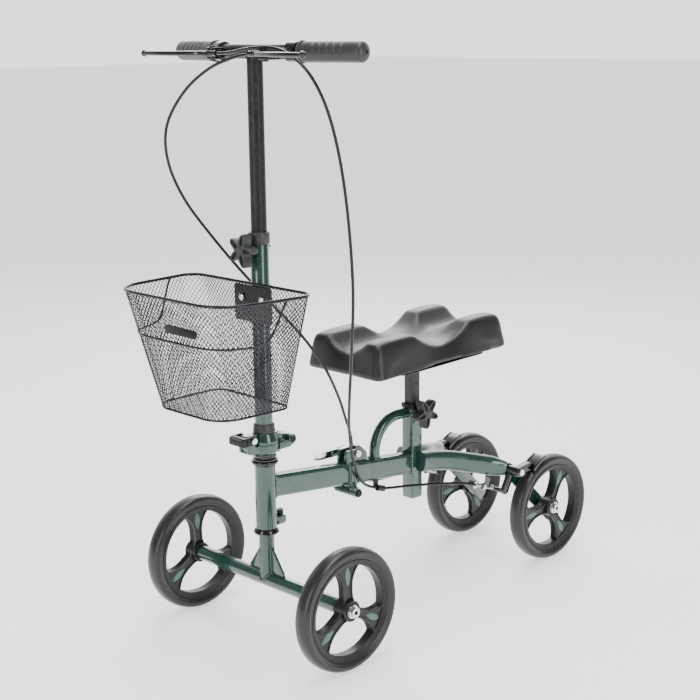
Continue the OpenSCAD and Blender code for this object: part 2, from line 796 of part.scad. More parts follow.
module rear_beam() {
    plate_x = joint_x - joint_gap - flange_t;
    color(green) difference() {
        union() {
            between_x(seat_front, plate_x + 1) beam_run(0);
            between_x(plate_x - 32, plate_x + 1) beam_run(2.4);
            joint_plate(plate_x, flange_half);
            knuckle(joint_x, hinge_z, -knuckle_in + slack, knuckle_in - slack,
                    plate_x, plate_x + flange_t, hinge_z, flange_low + 1);
            translate([joint_x - 42, -ear_in + 0.6, beam_top - 6])
                cube([39, 2 * ear_in - 1.2, 33]);
        }
        between_x(seat_front - 1, plate_x) beam_run(-2 * tube_wall);
        translate([joint_x, 0, hinge_z]) ybar(pin_d + 2 * fit, -hinge_half, hinge_half);
        translate([latch_x, 0, latch_z + 0.4]) ybar(8.6, -20, 20);
        translate([latch_x, -20, latch_z - 3.9]) cube([20, 40, 8.6]);
    }
}

module seat_tube() {
    inner = post_w + 2 * slack;
    color(green) difference() {
        union() {
            translate([seat_x, 0, seat_low]) linear_extrude(seat_top - seat_low)
                round_rect(seat_tube_w, seat_tube_w, 2.5);
            translate([seat_x, 0, seat_knob_z]) ybar(boss_d, 0, seat_tube_w / 2 + boss_h);
        }
        translate([seat_x, 0, seat_low - 1]) linear_extrude(seat_top)
            round_rect(inner, inner, 1);
        translate([seat_x, 0, seat_knob_z]) ybar(knob_bolt_d + 2 * fit, 0, 60);
    }
}

module seat_tube_cap() {
    outer = seat_tube_w + 3.4;
    color(black) translate([seat_x, 0, seat_top]) difference() {
        translate([0, 0, -6]) linear_extrude(8) round_rect(outer, outer, 3.5);
        translate([0, 0, -7]) linear_extrude(7) round_rect(seat_tube_w, seat_tube_w, 2.5);
        translate([0, 0, -1]) linear_extrude(9)
            round_rect(post_w + 2 * slack, post_w + 2 * slack, 1);
        translate([0, 0, seat_knob_z - seat_top]) ybar(boss_d + 1, 0, 40);
        translate([0, 0, arch_top - seat_top]) xbar(arch_d + 0.4, 0, 40);
    }
}

// A quarter circle from the rear beam's top up and back to the seat tube
module arch_tube() {
    centre = [seat_front + 25, 0, arch_top - arch_r];
    color(green) difference() {
        union() {
            translate(centre) rotate([90, 0, 0]) rotate_extrude(angle = 90)
                translate([arch_r, 0]) circle(d = arch_d);
            translate(centre + [arch_r, 0, -40]) cylinder(d = arch_d, h = 40);
            translate([0, 0, arch_top]) xbar(arch_d, seat_front, seat_front + 25);
        }
        beam_run(0);
        translate([0, -50, 0]) cube([2 * wheelbase, 100, beam_z(centre[0] + arch_r)]);
    }
}

// A rear arm: an oval tube that curves back and out, and its flat drop-out bar
module rear_arm() {
    side = seat_tube_w / 2;
    start_z = beam_z(seat_x) + 6;
    reach = seat_x - pivot_x;
    fall = start_z - pivot_z;
    points = [
        [seat_x + 4, side + arm_w / 2 - 1, start_z],
        [seat_x - reach * 0.15, side + arm_w / 2, start_z - fall * 0.1],
        [seat_x - reach * 0.38, side + arm_w / 2 + 7, start_z - fall * 0.27],
        [seat_x - reach * 0.62, side + arm_w / 2 + 25, start_z - fall * 0.52],
        [seat_x - reach * 0.85, dropout_in - arm_w / 2 - 6, start_z - fall * 0.8],
        [pivot_x + 4, dropout_in + 6, pivot_z + 2]
    ];
    color(green) difference() {
        union() {
            difference() {
                tube_along(spline(points, 3), arm_w / 2, arm_h / 2, 16, [0, 0, 1]);
                translate([seat_x - side, -side, 0]) cube([2 * side, 2 * side, 1000]);
                translate([rear_x - 100, dropout_in + 1, 0]) cube([400, 100, 500]);
            }
            translate([rear_x, dropout_out, axle_z]) rotate([0, -pivot_a, 0]) rotate([90, 0, 0])
                linear_extrude(dropout_t) union() {
                    translate([-45, -dropout_w / 2]) square([45 + pivot_r, dropout_w]);
                    translate([pivot_r, 0]) circle(d = dropout_w);
                }
        }
        translate([rear_x, 0, axle_z]) ybar(axle_d, 0, rear_y);
        translate([pivot_x, 0, pivot_z]) ybar(brake_pin_d, 0, rear_y);
    }
}

module rear_arm_left() { rear_arm(); }
module rear_arm_right() { right_side() rear_arm(); }

// A clip under the beam that holds the left cable
module cable_guides() {
    clip_x = stem_x - 245;
    clip_z = axle_z + 102;
    color(black) difference() {
        union() {
            translate([clip_x, 20, clip_z]) rotate([0, -16, -5]) xbar(11, -8, 8);
            translate([clip_x - 4, 6, clip_z - 2]) cube([8, 12, 5]);
            translate([clip_x - 4, 6, clip_z - 2]) cube([8, 5, beam_half]);
        }
        translate([clip_x, 20, clip_z]) rotate([0, -16, -5]) xbar(cable_d + 2.5, -20, 20);
        beam_run(0);
    }
}

// Threaded cable stops under the rear arms, in line with the ends of the cables
module at_cable_end() {
    both_sides() translate([adjust_x, 71, adjust_z]) rotate([0, -17, 0]) children();
}

module cable_adjusters() {
    color(chrome) at_cable_end() difference() {
        union() {
            xbar(8, -18, 0);
            rotate([0, 90, 0]) translate([0, 0, -6]) cylinder(d = 13, h = 6, $fn = 6);
            translate([-15, -6, 0]) cube([3, 12, 17]);
        }
        xbar(3, -30, 10);
    }
}

module brake_springs() {
    color(chrome) at_cable_end() translate([-30, 0, 0]) rotate([0, 90, 0]) ring(9, 6, 11);
}

module rear_axle_bolts() {
    color(chrome) translate([rear_x, 0, axle_z]) both_sides() {
        axle_bolt(rear_y + hub_w / 2 + slack + 1.4, dropout_in - 8);
        difference() {
            union() {
                ybar(axle_d + 5, dropout_out, rear_y - hub_w / 2);
                translate([0, dropout_in - 7, 0]) rotate([-90, 0, 0])
                    cylinder(d = axle_d + 6, h = 7, $fn = 6);
            }
            ybar(axle_d, 0, rear_y);
        }
    }
}

module brake_pivots() {
    color(chrome) translate([pivot_x, 0, pivot_z]) both_sides() {
        ybar(brake_pin_d, dropout_in, rear_y + 14);
        ybar(brake_pin_d + 5, rear_y + 12, rear_y + 16);
        difference() {
            ybar(brake_pin_d + 4, dropout_out, dropout_out + 2);
            ybar(brake_pin_d, 0, 200);
        }
    }
}

// A bent plate that turns on the brake pivot: a shoe over the tread and a leg for the cable
// The shoe follows the tread when the arm is pulled, so it is turned back by that much at rest.
function polar(r, a) = [r * cos(a), r * sin(a)];
function released(q) = let(c = cos(brake_turn), s = sin(brake_turn), v = q - polar(pivot_r, pivot_a))
    polar(pivot_r, pivot_a) + [v[0] * c + v[1] * s, v[1] * c - v[0] * s];

module brake_arm() {
    y0 = dropout_out + 2 + slack;
    y1 = rear_y + 12 - slack;
    shoe_r = wheel_d / 2 + shoe_gap;
    shoe_angles = [for (k = [0:6]) shoe_a[0] + (shoe_a[1] - shoe_a[0]) * k / 6];
    back_angles = [for (k = [6:-1:0]) shoe_angles[k]];
    color(black) translate([rear_x, 0, axle_z]) difference() {
        union() {
            rotate([90, 0, 0]) translate([0, 0, -rear_y - tyre_w / 2]) linear_extrude(tyre_w)
                polygon(concat([for (a = shoe_angles) released(polar(shoe_r, a))],
                               [for (a = back_angles) released(polar(shoe_r + shoe_t, a))]));
            translate([pivot_r * cos(pivot_a), 0, pivot_r * sin(pivot_a)])
                ybar(brake_pin_d + 12, y0, y1);
            rotate([90, 0, 0]) translate([0, 0, -rear_y - 7]) linear_extrude(14) polygon([
                released(polar(shoe_r + 1, shoe_a[0] + 8)), released(polar(shoe_r + 1, shoe_a[0])),
                polar(pivot_r - 8, pivot_a), polar(pivot_r + 8, pivot_a),
                released(polar(shoe_r + shoe_t + 10, shoe_a[0] + 4))
            ]);
            translate([anchor_r * cos(anchor_a), 0, anchor_r * sin(anchor_a)]) ybar(9, 66, y0 + 4);
            rotate([90, 0, 0]) translate([0, 0, -y0 - 8]) linear_extrude(8) polygon([
                polar(pivot_r + 8, pivot_a), polar(pivot_r - 8, pivot_a),
                polar(anchor_r - 8, anchor_a), polar(anchor_r, anchor_a - 3),
                polar(anchor_r + 8, anchor_a)
            ]);
        }
        translate([pivot_r * cos(pivot_a), 0, pivot_r * sin(pivot_a)])
            ybar(brake_pin_d + 2 * fit, 0, 200);
    }
}

module brake_arm_left() { brake_arm(); }
module brake_arm_right() { right_side() brake_arm(); }

module seat_post() {
    color(dark) translate([seat_x, 0, seat_low + 12]) difference() {
        linear_extrude(post_top - seat_low - 12) round_rect(post_w, post_w, 1.5);
        translate([0, 0, -1]) linear_extrude(post_top - seat_low - 13)
            round_rect(post_w - 4, post_w - 4, 1);
        for (z = [1:4]) translate([0, 0, seat_knob_z - seat_low - 12 + 50 * (z - 3)])
            ybar(7, -30, 30);
    }
}

module tilted_pad() {
    translate([seat_x, 0, pad_z]) rotate([0, pad_tilt, 0]) children();
}

module seat_plate() {
    color(black) tilted_pad() difference() {
        union() {
            translate([0, 0, -3]) linear_extrude(3)
                round_rect(pad_len * 0.8, pad_w - 12, 10);
            translate([0, 0, -7]) linear_extrude(4) round_rect(pad_len * 0.35, post_w + 40, 6);
        }
        rotate([0, -pad_tilt, 0]) translate([-60, -60, -24]) cube([120, 120, 20]);
    }
}

// A moulded pad: a lengthwise channel and a crosswise valley leave four raised corners
module seat_pad() {
    channel_half = 42;
    channel = 24;
    valley_half = 68;
    valley = 29;
    channel_r = (channel_half * channel_half + channel * channel) / 2 / channel;
    valley_r = (valley_half * valley_half + valley * valley) / 2 / valley;
    color(dark) tilted_pad() translate([8, 0, 0]) difference() {
        intersection() {
            linear_extrude(pad_h) round_rect(pad_len, pad_w, 14);
            rotate([90, 0, 90]) translate([0, 0, -pad_len / 2]) linear_extrude(pad_len) polygon([
                [-pad_w / 2, 0], [pad_w / 2, 0], [pad_w / 2 - 8, pad_h - 16],
                [pad_w / 2 - 20, pad_h], [-pad_w / 2 + 20, pad_h], [-pad_w / 2 + 8, pad_h - 16]
            ]);
            rotate([90, 0, 0]) translate([0, 0, -pad_w / 2]) linear_extrude(pad_w) polygon([
                [-pad_len / 2, 0], [pad_len / 2, 0], [pad_len / 2 - 8, pad_h - 14],
                [pad_len / 2 - 18, pad_h], [-pad_len / 2 + 18, pad_h], [-pad_len / 2 + 8, pad_h - 14]
            ]);
        }
        translate([0, 0, pad_h - channel + channel_r]) xbar(2 * channel_r, -pad_len, pad_len);
        translate([0, 0, pad_h - valley + valley_r]) ybar(2 * valley_r, -pad_w, pad_w);
    }
}

module seat_knob() {
    translate([seat_x, 0, seat_knob_z]) rotate([-90, 0, 0]) rotate([0, 0, 12])
        star_knob(post_w / 2 + slack, seat_tube_w / 2 + boss_h + 2 + slack);
}

// Wheels, about the Y axis
module tyre() {
    r = wheel_d / 2;
    crown = 3;
    color(dark) rotate([90, 0, 0]) rotate_extrude($fn = 96) polygon(concat(
        [[r - tyre_h, rim_w / 2], [r - tyre_h, -rim_w / 2]],
        [for (k = [0:8]) let(a = -80 + 20 * k)
            [r - crown - 6 + 6 * cos(a) + crown * cos(a * 0.9), sin(a) * tyre_w / 2]]));
}

module rim(phase) {
    r = wheel_d / 2 - tyre_h;
    color(black) difference() {
        union() {
            rotate([90, 0, 0]) rotate_extrude($fn = 96) polygon([
                [r - 10, -rim_w / 2 + 4], [r - 4, -rim_w / 2], [r, -rim_w / 2],
                [r, rim_w / 2], [r - 4, rim_w / 2], [r - 10, rim_w / 2 - 4]
            ]);
            ybar(hub_d, -hub_w / 2 + 2, hub_w / 2 - 2);
            rotate([90, 0, 0]) translate([0, 0, -9]) linear_extrude(18)
                for (a = [0:spokes - 1]) rotate(360 * a / spokes + phase) polygon([
                    [hub_d / 2 - 4, -12], [hub_d / 2 + 9, -8], [hub_d / 2 + 18, -8],
                    [r - 20, -14], [r - 7, -25], [r - 7, 25], [r - 20, 14],
                    [hub_d / 2 + 18, 8], [hub_d / 2 + 9, 8], [hub_d / 2 - 4, 12]
                ]);
        }
        ybar(axle_d + 6, -hub_w, hub_w);
        both_sides() ybar(bearing_d, hub_w / 2 - bearing_w, hub_w);
    }
}

module bearings() {
    color(chrome) both_sides() difference() {
        ybar(bearing_d, hub_w / 2 - bearing_w, hub_w / 2);
        ybar(axle_d + 2 * fit, 0, hub_w);
    }
}

module front_left() { translate([stem_x, front_y, axle_z]) children(); }
module front_right() { translate([stem_x, -front_y, axle_z]) children(); }
module rear_left() { translate([rear_x, rear_y, axle_z]) children(); }
module rear_right() { translate([rear_x, -rear_y, axle_z]) children(); }

front_frame();
headset_cups();
headset_bearings();
lug_screw();
frame_hinge_pin();
latch_skewer();
latch_lever();
front_fork();
headset_locknuts();
clamp_base();
stem_fold_pin();
clamp_skewer();
clamp_lever();
front_axle_bolts();
clamp_top();
lower_stem();
stem_collars();
stem_nut();
stem_knob();
basket_bracket();
basket_bolts();
basket();
basket_rim();
handlebar();
grips();
lever_mounts();
lever_pivots();
brake_lever_left();
brake_lever_right();
brake_cable_left();
brake_cable_right();
rear_beam();
seat_tube();
arch_tube();
rear_arm_left();
rear_arm_right();
cable_guides();
cable_adjusters();
brake_springs();
rear_axle_bolts();
brake_pivots();
brake_arm_left();
brake_arm_right();
seat_tube_cap();
seat_post();
seat_plate();
seat_pad();
seat_knob();
front_left() tyre();  // tyre_front_left
front_left() rim(front_spoke_turn);  // rim_front_left
front_left() bearings();  // bearings_front_left
front_right() tyre();  // tyre_front_right
front_right() rim(front_spoke_turn);  // rim_front_right
front_right() bearings();  // bearings_front_right
rear_left() tyre();  // tyre_rear_left
rear_left() rim(rear_spoke_turn);  // rim_rear_left
rear_left() bearings();  // bearings_rear_left
rear_right() tyre();  // tyre_rear_right
rear_right() rim(rear_spoke_turn);  // rim_rear_right
rear_right() bearings();  // bearings_rear_right
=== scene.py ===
# Knee scooter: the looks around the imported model. Shapes are given in millimetres.
import math
import bpy
import bmesh
from mathutils import Matrix, Vector


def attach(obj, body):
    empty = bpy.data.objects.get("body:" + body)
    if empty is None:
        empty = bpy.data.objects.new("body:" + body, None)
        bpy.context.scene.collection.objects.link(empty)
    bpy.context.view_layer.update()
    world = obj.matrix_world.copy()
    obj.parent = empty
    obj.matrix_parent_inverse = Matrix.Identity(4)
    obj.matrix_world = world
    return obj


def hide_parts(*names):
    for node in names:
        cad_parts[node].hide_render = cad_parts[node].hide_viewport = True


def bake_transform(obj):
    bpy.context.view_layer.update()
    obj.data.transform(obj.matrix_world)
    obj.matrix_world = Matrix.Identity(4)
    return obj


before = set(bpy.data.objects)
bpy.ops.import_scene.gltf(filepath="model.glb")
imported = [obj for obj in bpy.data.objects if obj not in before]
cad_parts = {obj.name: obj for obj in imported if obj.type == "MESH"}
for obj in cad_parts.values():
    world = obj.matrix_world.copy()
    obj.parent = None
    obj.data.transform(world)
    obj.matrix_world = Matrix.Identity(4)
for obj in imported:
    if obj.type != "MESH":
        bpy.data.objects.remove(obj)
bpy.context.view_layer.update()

mm = 0.001
upright = Vector((0, 0, 1))
layout = {  # where the scooter's main parts stand
    "stemX": 257.75, "rearX": -350.25, "seatX": -89.25, "jointX": 71.75,
    "axleZ": 100, "barZ": 950, "foldZ": 333, "hingeZ": 208,
    "frontY": 186, "rearY": 104, "knobZ": 649,
    "seatKnobZ": 319, "rimZ": 595, "padZ": 419, "beamSlope": math.tan(math.radians(6)),
}
stemX, rearX, seatX, jointX = (layout[k] for k in ("stemX", "rearX", "seatX", "jointX"))
axleZ, barZ, foldZ, hingeZ = (layout[k] for k in ("axleZ", "barZ", "foldZ", "hingeZ"))
beamTop = 258.56


# ---- mesh making
def shift(x, y, z):
    return Matrix.Translation((x, y, z))


def turn(degrees, axis):
    return Matrix.Rotation(math.radians(degrees), 4, axis)


lying = turn(-90, "X")  # what was drawn along Z now runs along +Y
mirrored = Matrix.Diagonal((1, -1, 1, 1))


def ringSection(radius, steps=16):
    return [(radius * math.cos(2 * math.pi * k / steps), radius * math.sin(2 * math.pi * k / steps))
            for k in range(steps)]


def ovalSection(width, height, power=2.6, steps=32):
    # a superellipse, from round to nearly square
    made = []
    for k in range(steps):
        c, s = math.cos(2 * math.pi * k / steps), math.sin(2 * math.pi * k / steps)
        made.append((width / 2 * math.copysign(abs(c) ** (2 / power), c),
                     height / 2 * math.copysign(abs(s) ** (2 / power), s)))
    return made


def boxSection(width, height, radius, steps=5):
    # a rectangle with round corners
    made = []
    for cx, cy, start in ((1, 1, 0), (-1, 1, 90), (-1, -1, 180), (1, -1, 270)):
        for k in range(steps + 1):
            a = math.radians(start + 90 * k / steps)
            made.append((cx * (width / 2 - radius) + radius * math.cos(a),
                         cy * (height / 2 - radius) + radius * math.sin(a)))
    return made


def curvePoints(points, steps):
    # a smooth curve through the points
    p = [Vector(q) for q in points]
    last = len(p) - 1
    made = []
    for i in range(last):
        a, b, c, d = p[max(i - 1, 0)], p[i], p[i + 1], p[min(i + 2, last)]
        for k in range(steps):
            t = k / steps
            made.append(0.5 * (2 * b + (c - a) * t + (2 * a - 5 * b + 4 * c - d) * t * t
                               + (3 * b - a - 3 * c + d) * t ** 3))
    return made + [p[last]]


def arcPoints(centre, radius, start, end, steps, flat="xz"):
    made = []
    for k in range(steps + 1):
        a = math.radians(start + (end - start) * k / steps)
        u, v = radius * math.cos(a), radius * math.sin(a)
        made.append(Vector(centre) + Vector((u, 0, v) if flat == "xz" else (u, v, 0)))
    return made


def loft(rings, closed=False, caps=True):
    # faces between rings of points that have the same count; one point makes a pole
    points, faces, starts = [], [], []
    for ring in rings:
        starts.append((len(points), len(ring)))
        points += [Vector(q) for q in ring]
    pairs = list(zip(starts, starts[1:])) + ([(starts[-1], starts[0])] if closed else [])
    for (a, na), (b, nb) in pairs:
        for k in range(max(na, nb)):
            m = (k + 1) % max(na, nb)
            if na == 1:
                faces.append([a, b + m, b + k])
            elif nb == 1:
                faces.append([a + k, a + m, b])
            else:
                faces.append([a + k, a + m, b + m, b + k])
    if caps and not closed:
        for (s, count), turned in ((starts[0], True), (starts[-1], False)):
            if count > 2:
                face = list(range(s, s + count))
                faces.append(face[::-1] if turned else face)
    return points, faces


def lathe(profile, steps=48, closed=False):
    # (radius, height) pairs turned about Z
    rings = []
    for r, h in profile:
        if r < 1e-6:
            rings.append([(0, 0, h)])
        else:
            rings.append([(x, y, h) for x, y in ringSection(r, steps)])
    return loft(rings, closed)


def tube(profile, steps=64):
    return lathe(profile, steps, closed=True)


def sweepRings(path, section, closed=False, up=None, grow=None):
    # a section carried along a path; with up it stays level, without it it turns least
    path = [Vector(q) for q in path]
    last = len(path) - 1
    rings, over = [], None
    for i, point in enumerate(path):
        if closed:
            way = (path[(i + 1) % (last + 1)] - path[i - 1]).normalized()
        else:
            way = (path[min(i + 1, last)] - path[max(i - 1, 0)]).normalized()
        if up is not None:
            across = Vector(up).cross(way).normalized()
            over = way.cross(across)
        else:
            if over is None:
                guess = upright if abs(way.z) < 0.9 else Vector((1, 0, 0))
                over = (guess - way * guess.dot(way)).normalized()
            else:
                over = (over - way * over.dot(way)).normalized()
            across = over.cross(way)
        size = grow(i / max(last, 1)) if grow else 1
        wide, high = size if isinstance(size, tuple) else (size, size)
        rings.append([point + across * (u * wide) + over * (v * high) for u, v in section])
    return rings


def sweep(path, section, closed=False, up=None, grow=None):
    return loft(sweepRings(path, section, closed, up, grow), closed)


def stack(*levels, closed=False):
    # (outline, height) pairs joined upwards
    return loft([[(x, y, z) for x, y in outline] for outline, z in levels], closed)


def slab(outline, low, high):
    return stack((outline, low), (outline, high))


def roundedOutline(corners, steps=5):
    # (x, y, radius) corners made into an outline with arcs
    made = []
    count = len(corners)
    for i, (x, y, radius) in enumerate(corners):
        here = Vector((x, y))
        before = Vector(corners[i - 1][:2]) - here
        after = Vector(corners[(i + 1) % count][:2]) - here
        room = 0.49 * min(before.length, after.length)
        before.normalize()
        after.normalize()
        half = math.acos(max(-1, min(1, before.dot(after)))) / 2
        reach = min(radius / math.tan(max(half, 0.01)), room)
        if reach < 1e-3 or abs(half - math.pi / 2) < 1e-3:
            made.append((x, y))
            continue
        for k in range(steps + 1):
            t = k / steps
            a, b = here + before * reach, here + after * reach
            arc, straight = 2 * t * (1 - t), (1 - t) ** 2 + t ** 2
            weight = arc * math.sin(half) + straight
            made.append(tuple((a * (1 - t) ** 2 + b * t ** 2 + here * arc * math.sin(half)) / weight))
    return made


def softened(parts, width, segments=3, limit=30):
    # rounds the sharp edges of one closed solid
    points, faces = parts
    grid = bmesh.new()
    corners = [grid.verts.new(q) for q in points]
    for face in faces:
        try:
            grid.faces.new([corners[i] for i in face])
        except ValueError:
            pass
    bmesh.ops.recalc_face_normals(grid, faces=grid.faces)
    sharp = [e for e in grid.edges if len(e.link_faces) == 2
             and e.calc_face_angle(0) > math.radians(limit)]
    bmesh.ops.bevel(grid, geom=sharp, offset=width, offset_type="OFFSET", segments=segments,
                    profile=0.5, affect="EDGES", clamp_overlap=True)
    grid.verts.index_update()
    made = [v.co.copy() for v in grid.verts], [[v.index for v in f.verts] for f in grid.faces]
    grid.free()
    return made


def plate(outline, low, high, width, segments=3):
    return softened(slab(outline, low, high), width, segments)


class Shell:
    # a piece's mesh while it is put together
    def __init__(self):
        self.points, self.faces, self.finishes = [], [], []

    def add(self, parts, place=None, finish=0):
        points, faces = parts
        start = len(self.points)
        self.points += [place @ Vector(q) for q in points] if place else list(points)
        flipped = place is not None and place.determinant() < 0
        self.faces += [[start + i for i in (f[::-1] if flipped else f)] for f in faces]
        self.finishes += [finish] * len(faces)
        return self

    def both(self, parts, place=None, finish=0):
        # this side and its mirror image across the scooter
        place = place or Matrix()
        return self.add(parts, place, finish).add(parts, mirrored @ place, finish)

    def side(self, corners, thick, width, *starts, steps=5, segments=3):
        # plates with an outline in (x, z), extruded along -Y from each start
        for y in starts:
            self.add(plate(roundedOutline(corners, steps), 0, thick, width, segments), placedXz(y))

    def moved(self, place):
        made = Shell().add((self.points, self.faces), place)
        made.finishes = self.finishes
        return made


def piece(name, shell, finish, body, stands=None, angle=38):
    # finish is one key of the finishes, or one for each of the shell's finish numbers
    finish = [finish] if isinstance(finish, str) else finish
    mesh = bpy.data.meshes.new(name)
    mesh.from_pydata([tuple(q * mm for q in p) for p in shell.points], [], shell.faces)
    mesh.polygons.foreach_set("material_index", shell.finishes)
    grid = bmesh.new()
    grid.from_mesh(mesh)
    bmesh.ops.dissolve_degenerate(grid, edges=grid.edges, dist=1e-7)
    bmesh.ops.recalc_face_normals(grid, faces=grid.faces)
    grid.to_mesh(mesh)
    grid.free()
    mesh.polygons.foreach_set("use_smooth", [True] * len(mesh.polygons))
    mesh.set_sharp_from_angle(angle=math.radians(angle))
    for key in finish:
        mesh.materials.append(finishes[key])
    made = bpy.data.objects.new(name, mesh)
    bpy.context.scene.collection.objects.link(made)
    if body:
        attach(made, body)
    if stands:
        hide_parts(stands)
    return made


def weldBead(path, radius):
    # a closed fillet weld with the scales that a welder leaves
    path = [Vector(q) for q in path]
    around = []
    for a, b in zip(path, path[1:] + path[:1]):
        count = max(1, round((b - a).length / 0.8))
        around += [a.lerp(b, k / count) for k in range(count)]
    total = len(around)
    scales = max(4, round(total / 4))
    return sweep(around, ringSection(radius, 8), closed=True,
                 grow=lambda t: 0.86 + 0.18 * abs(math.sin(math.pi * scales * t)))


# ---- finishes
class Wire:
    # a node socket that takes part in Python sums
    def __init__(self, tree, socket=None):
        self.tree, self.socket = tree, socket

    def make(self, kind, settings=None, values=None, out=0):
        node = self.tree.nodes.new("ShaderNode" + kind)
        for key, value in (settings or {}).items():
            if key == "stops":
                for extra in value[2:]:
                    node.color_ramp.elements.new(extra[0])
                for element, (spot, shade) in zip(node.color_ramp.elements, value):
                    element.position = spot
                    element.color = (*shade, 1) if isinstance(shade, tuple) else (shade,) * 3 + (1,)
            else:
                setattr(node, key, value)
        for key, value in (values or {}).items():
            if isinstance(value, Wire):
                self.tree.links.new(value.socket, node.inputs[key])
            elif isinstance(value, tuple) and len(value) == 3 and node.inputs[key].type == "RGBA":
                node.inputs[key].default_value = (*value, 1)
            else:
                node.inputs[key].default_value = value
        return Wire(self.tree, node.outputs[out])

    def sum(self, operation, a, b):
        return self.make("Math", {"operation": operation}, {0: a, 1: b})

    def __add__(self, other):
        return self.sum("ADD", self, other)

    def __mul__(self, other):
        return self.sum("MULTIPLY", self, other)

    def __sub__(self, other):
        return self.sum("SUBTRACT", self, other)

    def held(self, low, high):
        return self.make("Clamp", {}, {"Value": self, "Min": low, "Max": high})

    def mix(self, a, b):
        # colours or numbers, from a where this is 0 to b where it is 1
        coloured = isinstance(a, Wire) and a.socket.type == "RGBA"
        if coloured or isinstance(a, tuple) or isinstance(b, tuple):
            return self.make("Mix", {"data_type": "RGBA"}, {0: self, 6: a, 7: b}, out=2)
        return self.make("Mix", {"data_type": "FLOAT"}, {0: self, 2: a, 3: b}, out=0)


class Finish:
    # one material under construction
    def __init__(self, name, roughness=0.5, metallic=0.0, **fixed):
        self.material = bpy.data.materials.new(name)
        self.material.use_nodes = True
        self.tree = self.material.node_tree
        self.shader = self.tree.nodes["Principled BSDF"]
        self.shader.inputs["Roughness"].default_value = roughness
        self.shader.inputs["Metallic"].default_value = metallic
        for key, value in fixed.items():
            self.shader.inputs[key.replace("_", " ")].default_value = value
        self.start = Wire(self.tree)
        self.spot = self.start.make("TexCoord", out=3)

    def noise(self, scale, detail=3, roughness=0.5, stretch=None):
        spot = self.spot
        if stretch:
            spot = self.start.make("VectorMath", {"operation": "MULTIPLY"}, {0: spot, 1: stretch})
        return self.start.make("TexNoise", {}, {"Vector": spot, "Scale": scale, "Detail": detail,
                                                "Roughness": roughness})

    def cells(self, scale, out=0):
        return self.start.make("TexVoronoi", {}, {"Vector": self.spot, "Scale": scale}, out=out)

    def ramp(self, wire, *stops):
        return self.start.make("ValToRGB", {"stops": stops}, {"Fac": wire})

    def wear(self, strength=6, width=0.5):
        # light where the surface's edges stick out
        bend = self.start.make("NewGeometry", out=7)
        return ((bend - width) * strength).held(0, 1)

    def set(self, socket, wire):
        self.tree.links.new(wire.socket, self.shader.inputs[socket])

    def bump(self, wire, distance, strength=1.0):
        values = {"Height": wire, "Distance": distance, "Strength": strength}
        self.set("Normal", self.start.make("Bump", {}, values))


def paintFinish(name, tone, deep, roughness, metallic, flake=0.02, coat=1.0, shine=0.5):
    # metallic paint under clear lacquer, thinner on edges, with a little dust and orange peel
    f = Finish(name, roughness, metallic, Coat_Weight=coat, Coat_Roughness=0.05,
               Specular_IOR_Level=shine)
    cloud = f.noise(9, 4)
    specks = f.ramp(f.cells(2600, out=1), (0.0, 0.0), (1.0, 1.0))
    body = f.ramp(cloud, (0.3, deep), (0.75, tone))
    worn = f.wear(9, 0.56) * f.ramp(f.noise(160, 3), (0.45, 0.0), (0.75, 1.0))
    f.set("Base Color", worn.mix(body, tuple(min(1, c * 1.8 + 0.03) for c in tone)))
    smear = f.ramp(f.noise(26, 5), (0.35, 0.0), (0.8, 1.0))
    f.set("Roughness", smear * 0.09 + worn * 0.15 + (roughness - 0.03))
    f.bump(f.noise(420, 2) * 0.6 + specks * flake, 0.00012, 0.35)
    return f.material


def plasticFinish(name, tone, roughness, grain=900, pale=1.5):
    # moulded plastic: fine spark-eroded grain, rubbed paler and smoother on its edges
    f = Finish(name, roughness, Specular_IOR_Level=0.32)
    worn = f.wear(7, 0.53)
    cloud = f.ramp(f.noise(14, 4), (0.3, tone), (0.8, tuple(c * 1.22 for c in tone)))
    f.set("Base Color", worn.mix(cloud, tuple(min(1, c * pale + 0.012) for c in tone)))
    f.set("Roughness", f.noise(40, 3) * 0.16 + (roughness - 0.08) - worn * 0.08)
    f.bump(f.noise(grain, 3, 0.6) + f.noise(grain * 3, 1) * 0.4, 0.00006, 0.6)
    return f.material


def metalFinish(name, tone, roughness=0.12, scratch=0.08, brushed=None):
    # bright metal with fine handling marks; brushed gives the direction of its grinding lines
    f = Finish(name, roughness, 1.0)
    marks = f.noise(700, 2, 0.6, stretch=brushed or (1, 1, 1))
    haze = f.noise(30, 5)
    f.set("Base Color", f.ramp(haze, (0.3, tuple(c * 0.86 for c in tone)), (0.75, tone)))
    f.set("Roughness", f.ramp(marks, (0.5, 0.0), (0.9, 1.0)) * scratch + haze * 0.08 + (roughness - 0.04))
    f.bump(marks, 0.00002, 0.4)
    return f.material


def rubberFinish(name, tone, roughness, sheen, dusty=0.25, grain=1200):
    # rubber with a dull bloom and dust in its pores
    f = Finish(name, roughness, Sheen_Weight=sheen, Sheen_Roughness=0.5, Specular_IOR_Level=0.4)
    cloud = f.noise(18, 5)
    dust = f.ramp(f.noise(70, 4), (0.5, 0.0), (0.85, 1.0)) * dusty
    body = f.ramp(cloud, (0.3, tuple(c * 0.82 for c in tone)), (0.8, tone))
    f.set("Base Color", dust.mix(body, tuple(c * 1.5 + 0.006 for c in tone)))
    f.set("Roughness", cloud * 0.14 + dust * 0.2 + (roughness - 0.08))
    f.bump(f.noise(grain, 3, 0.6), 0.00008, 0.5)
    return f.material


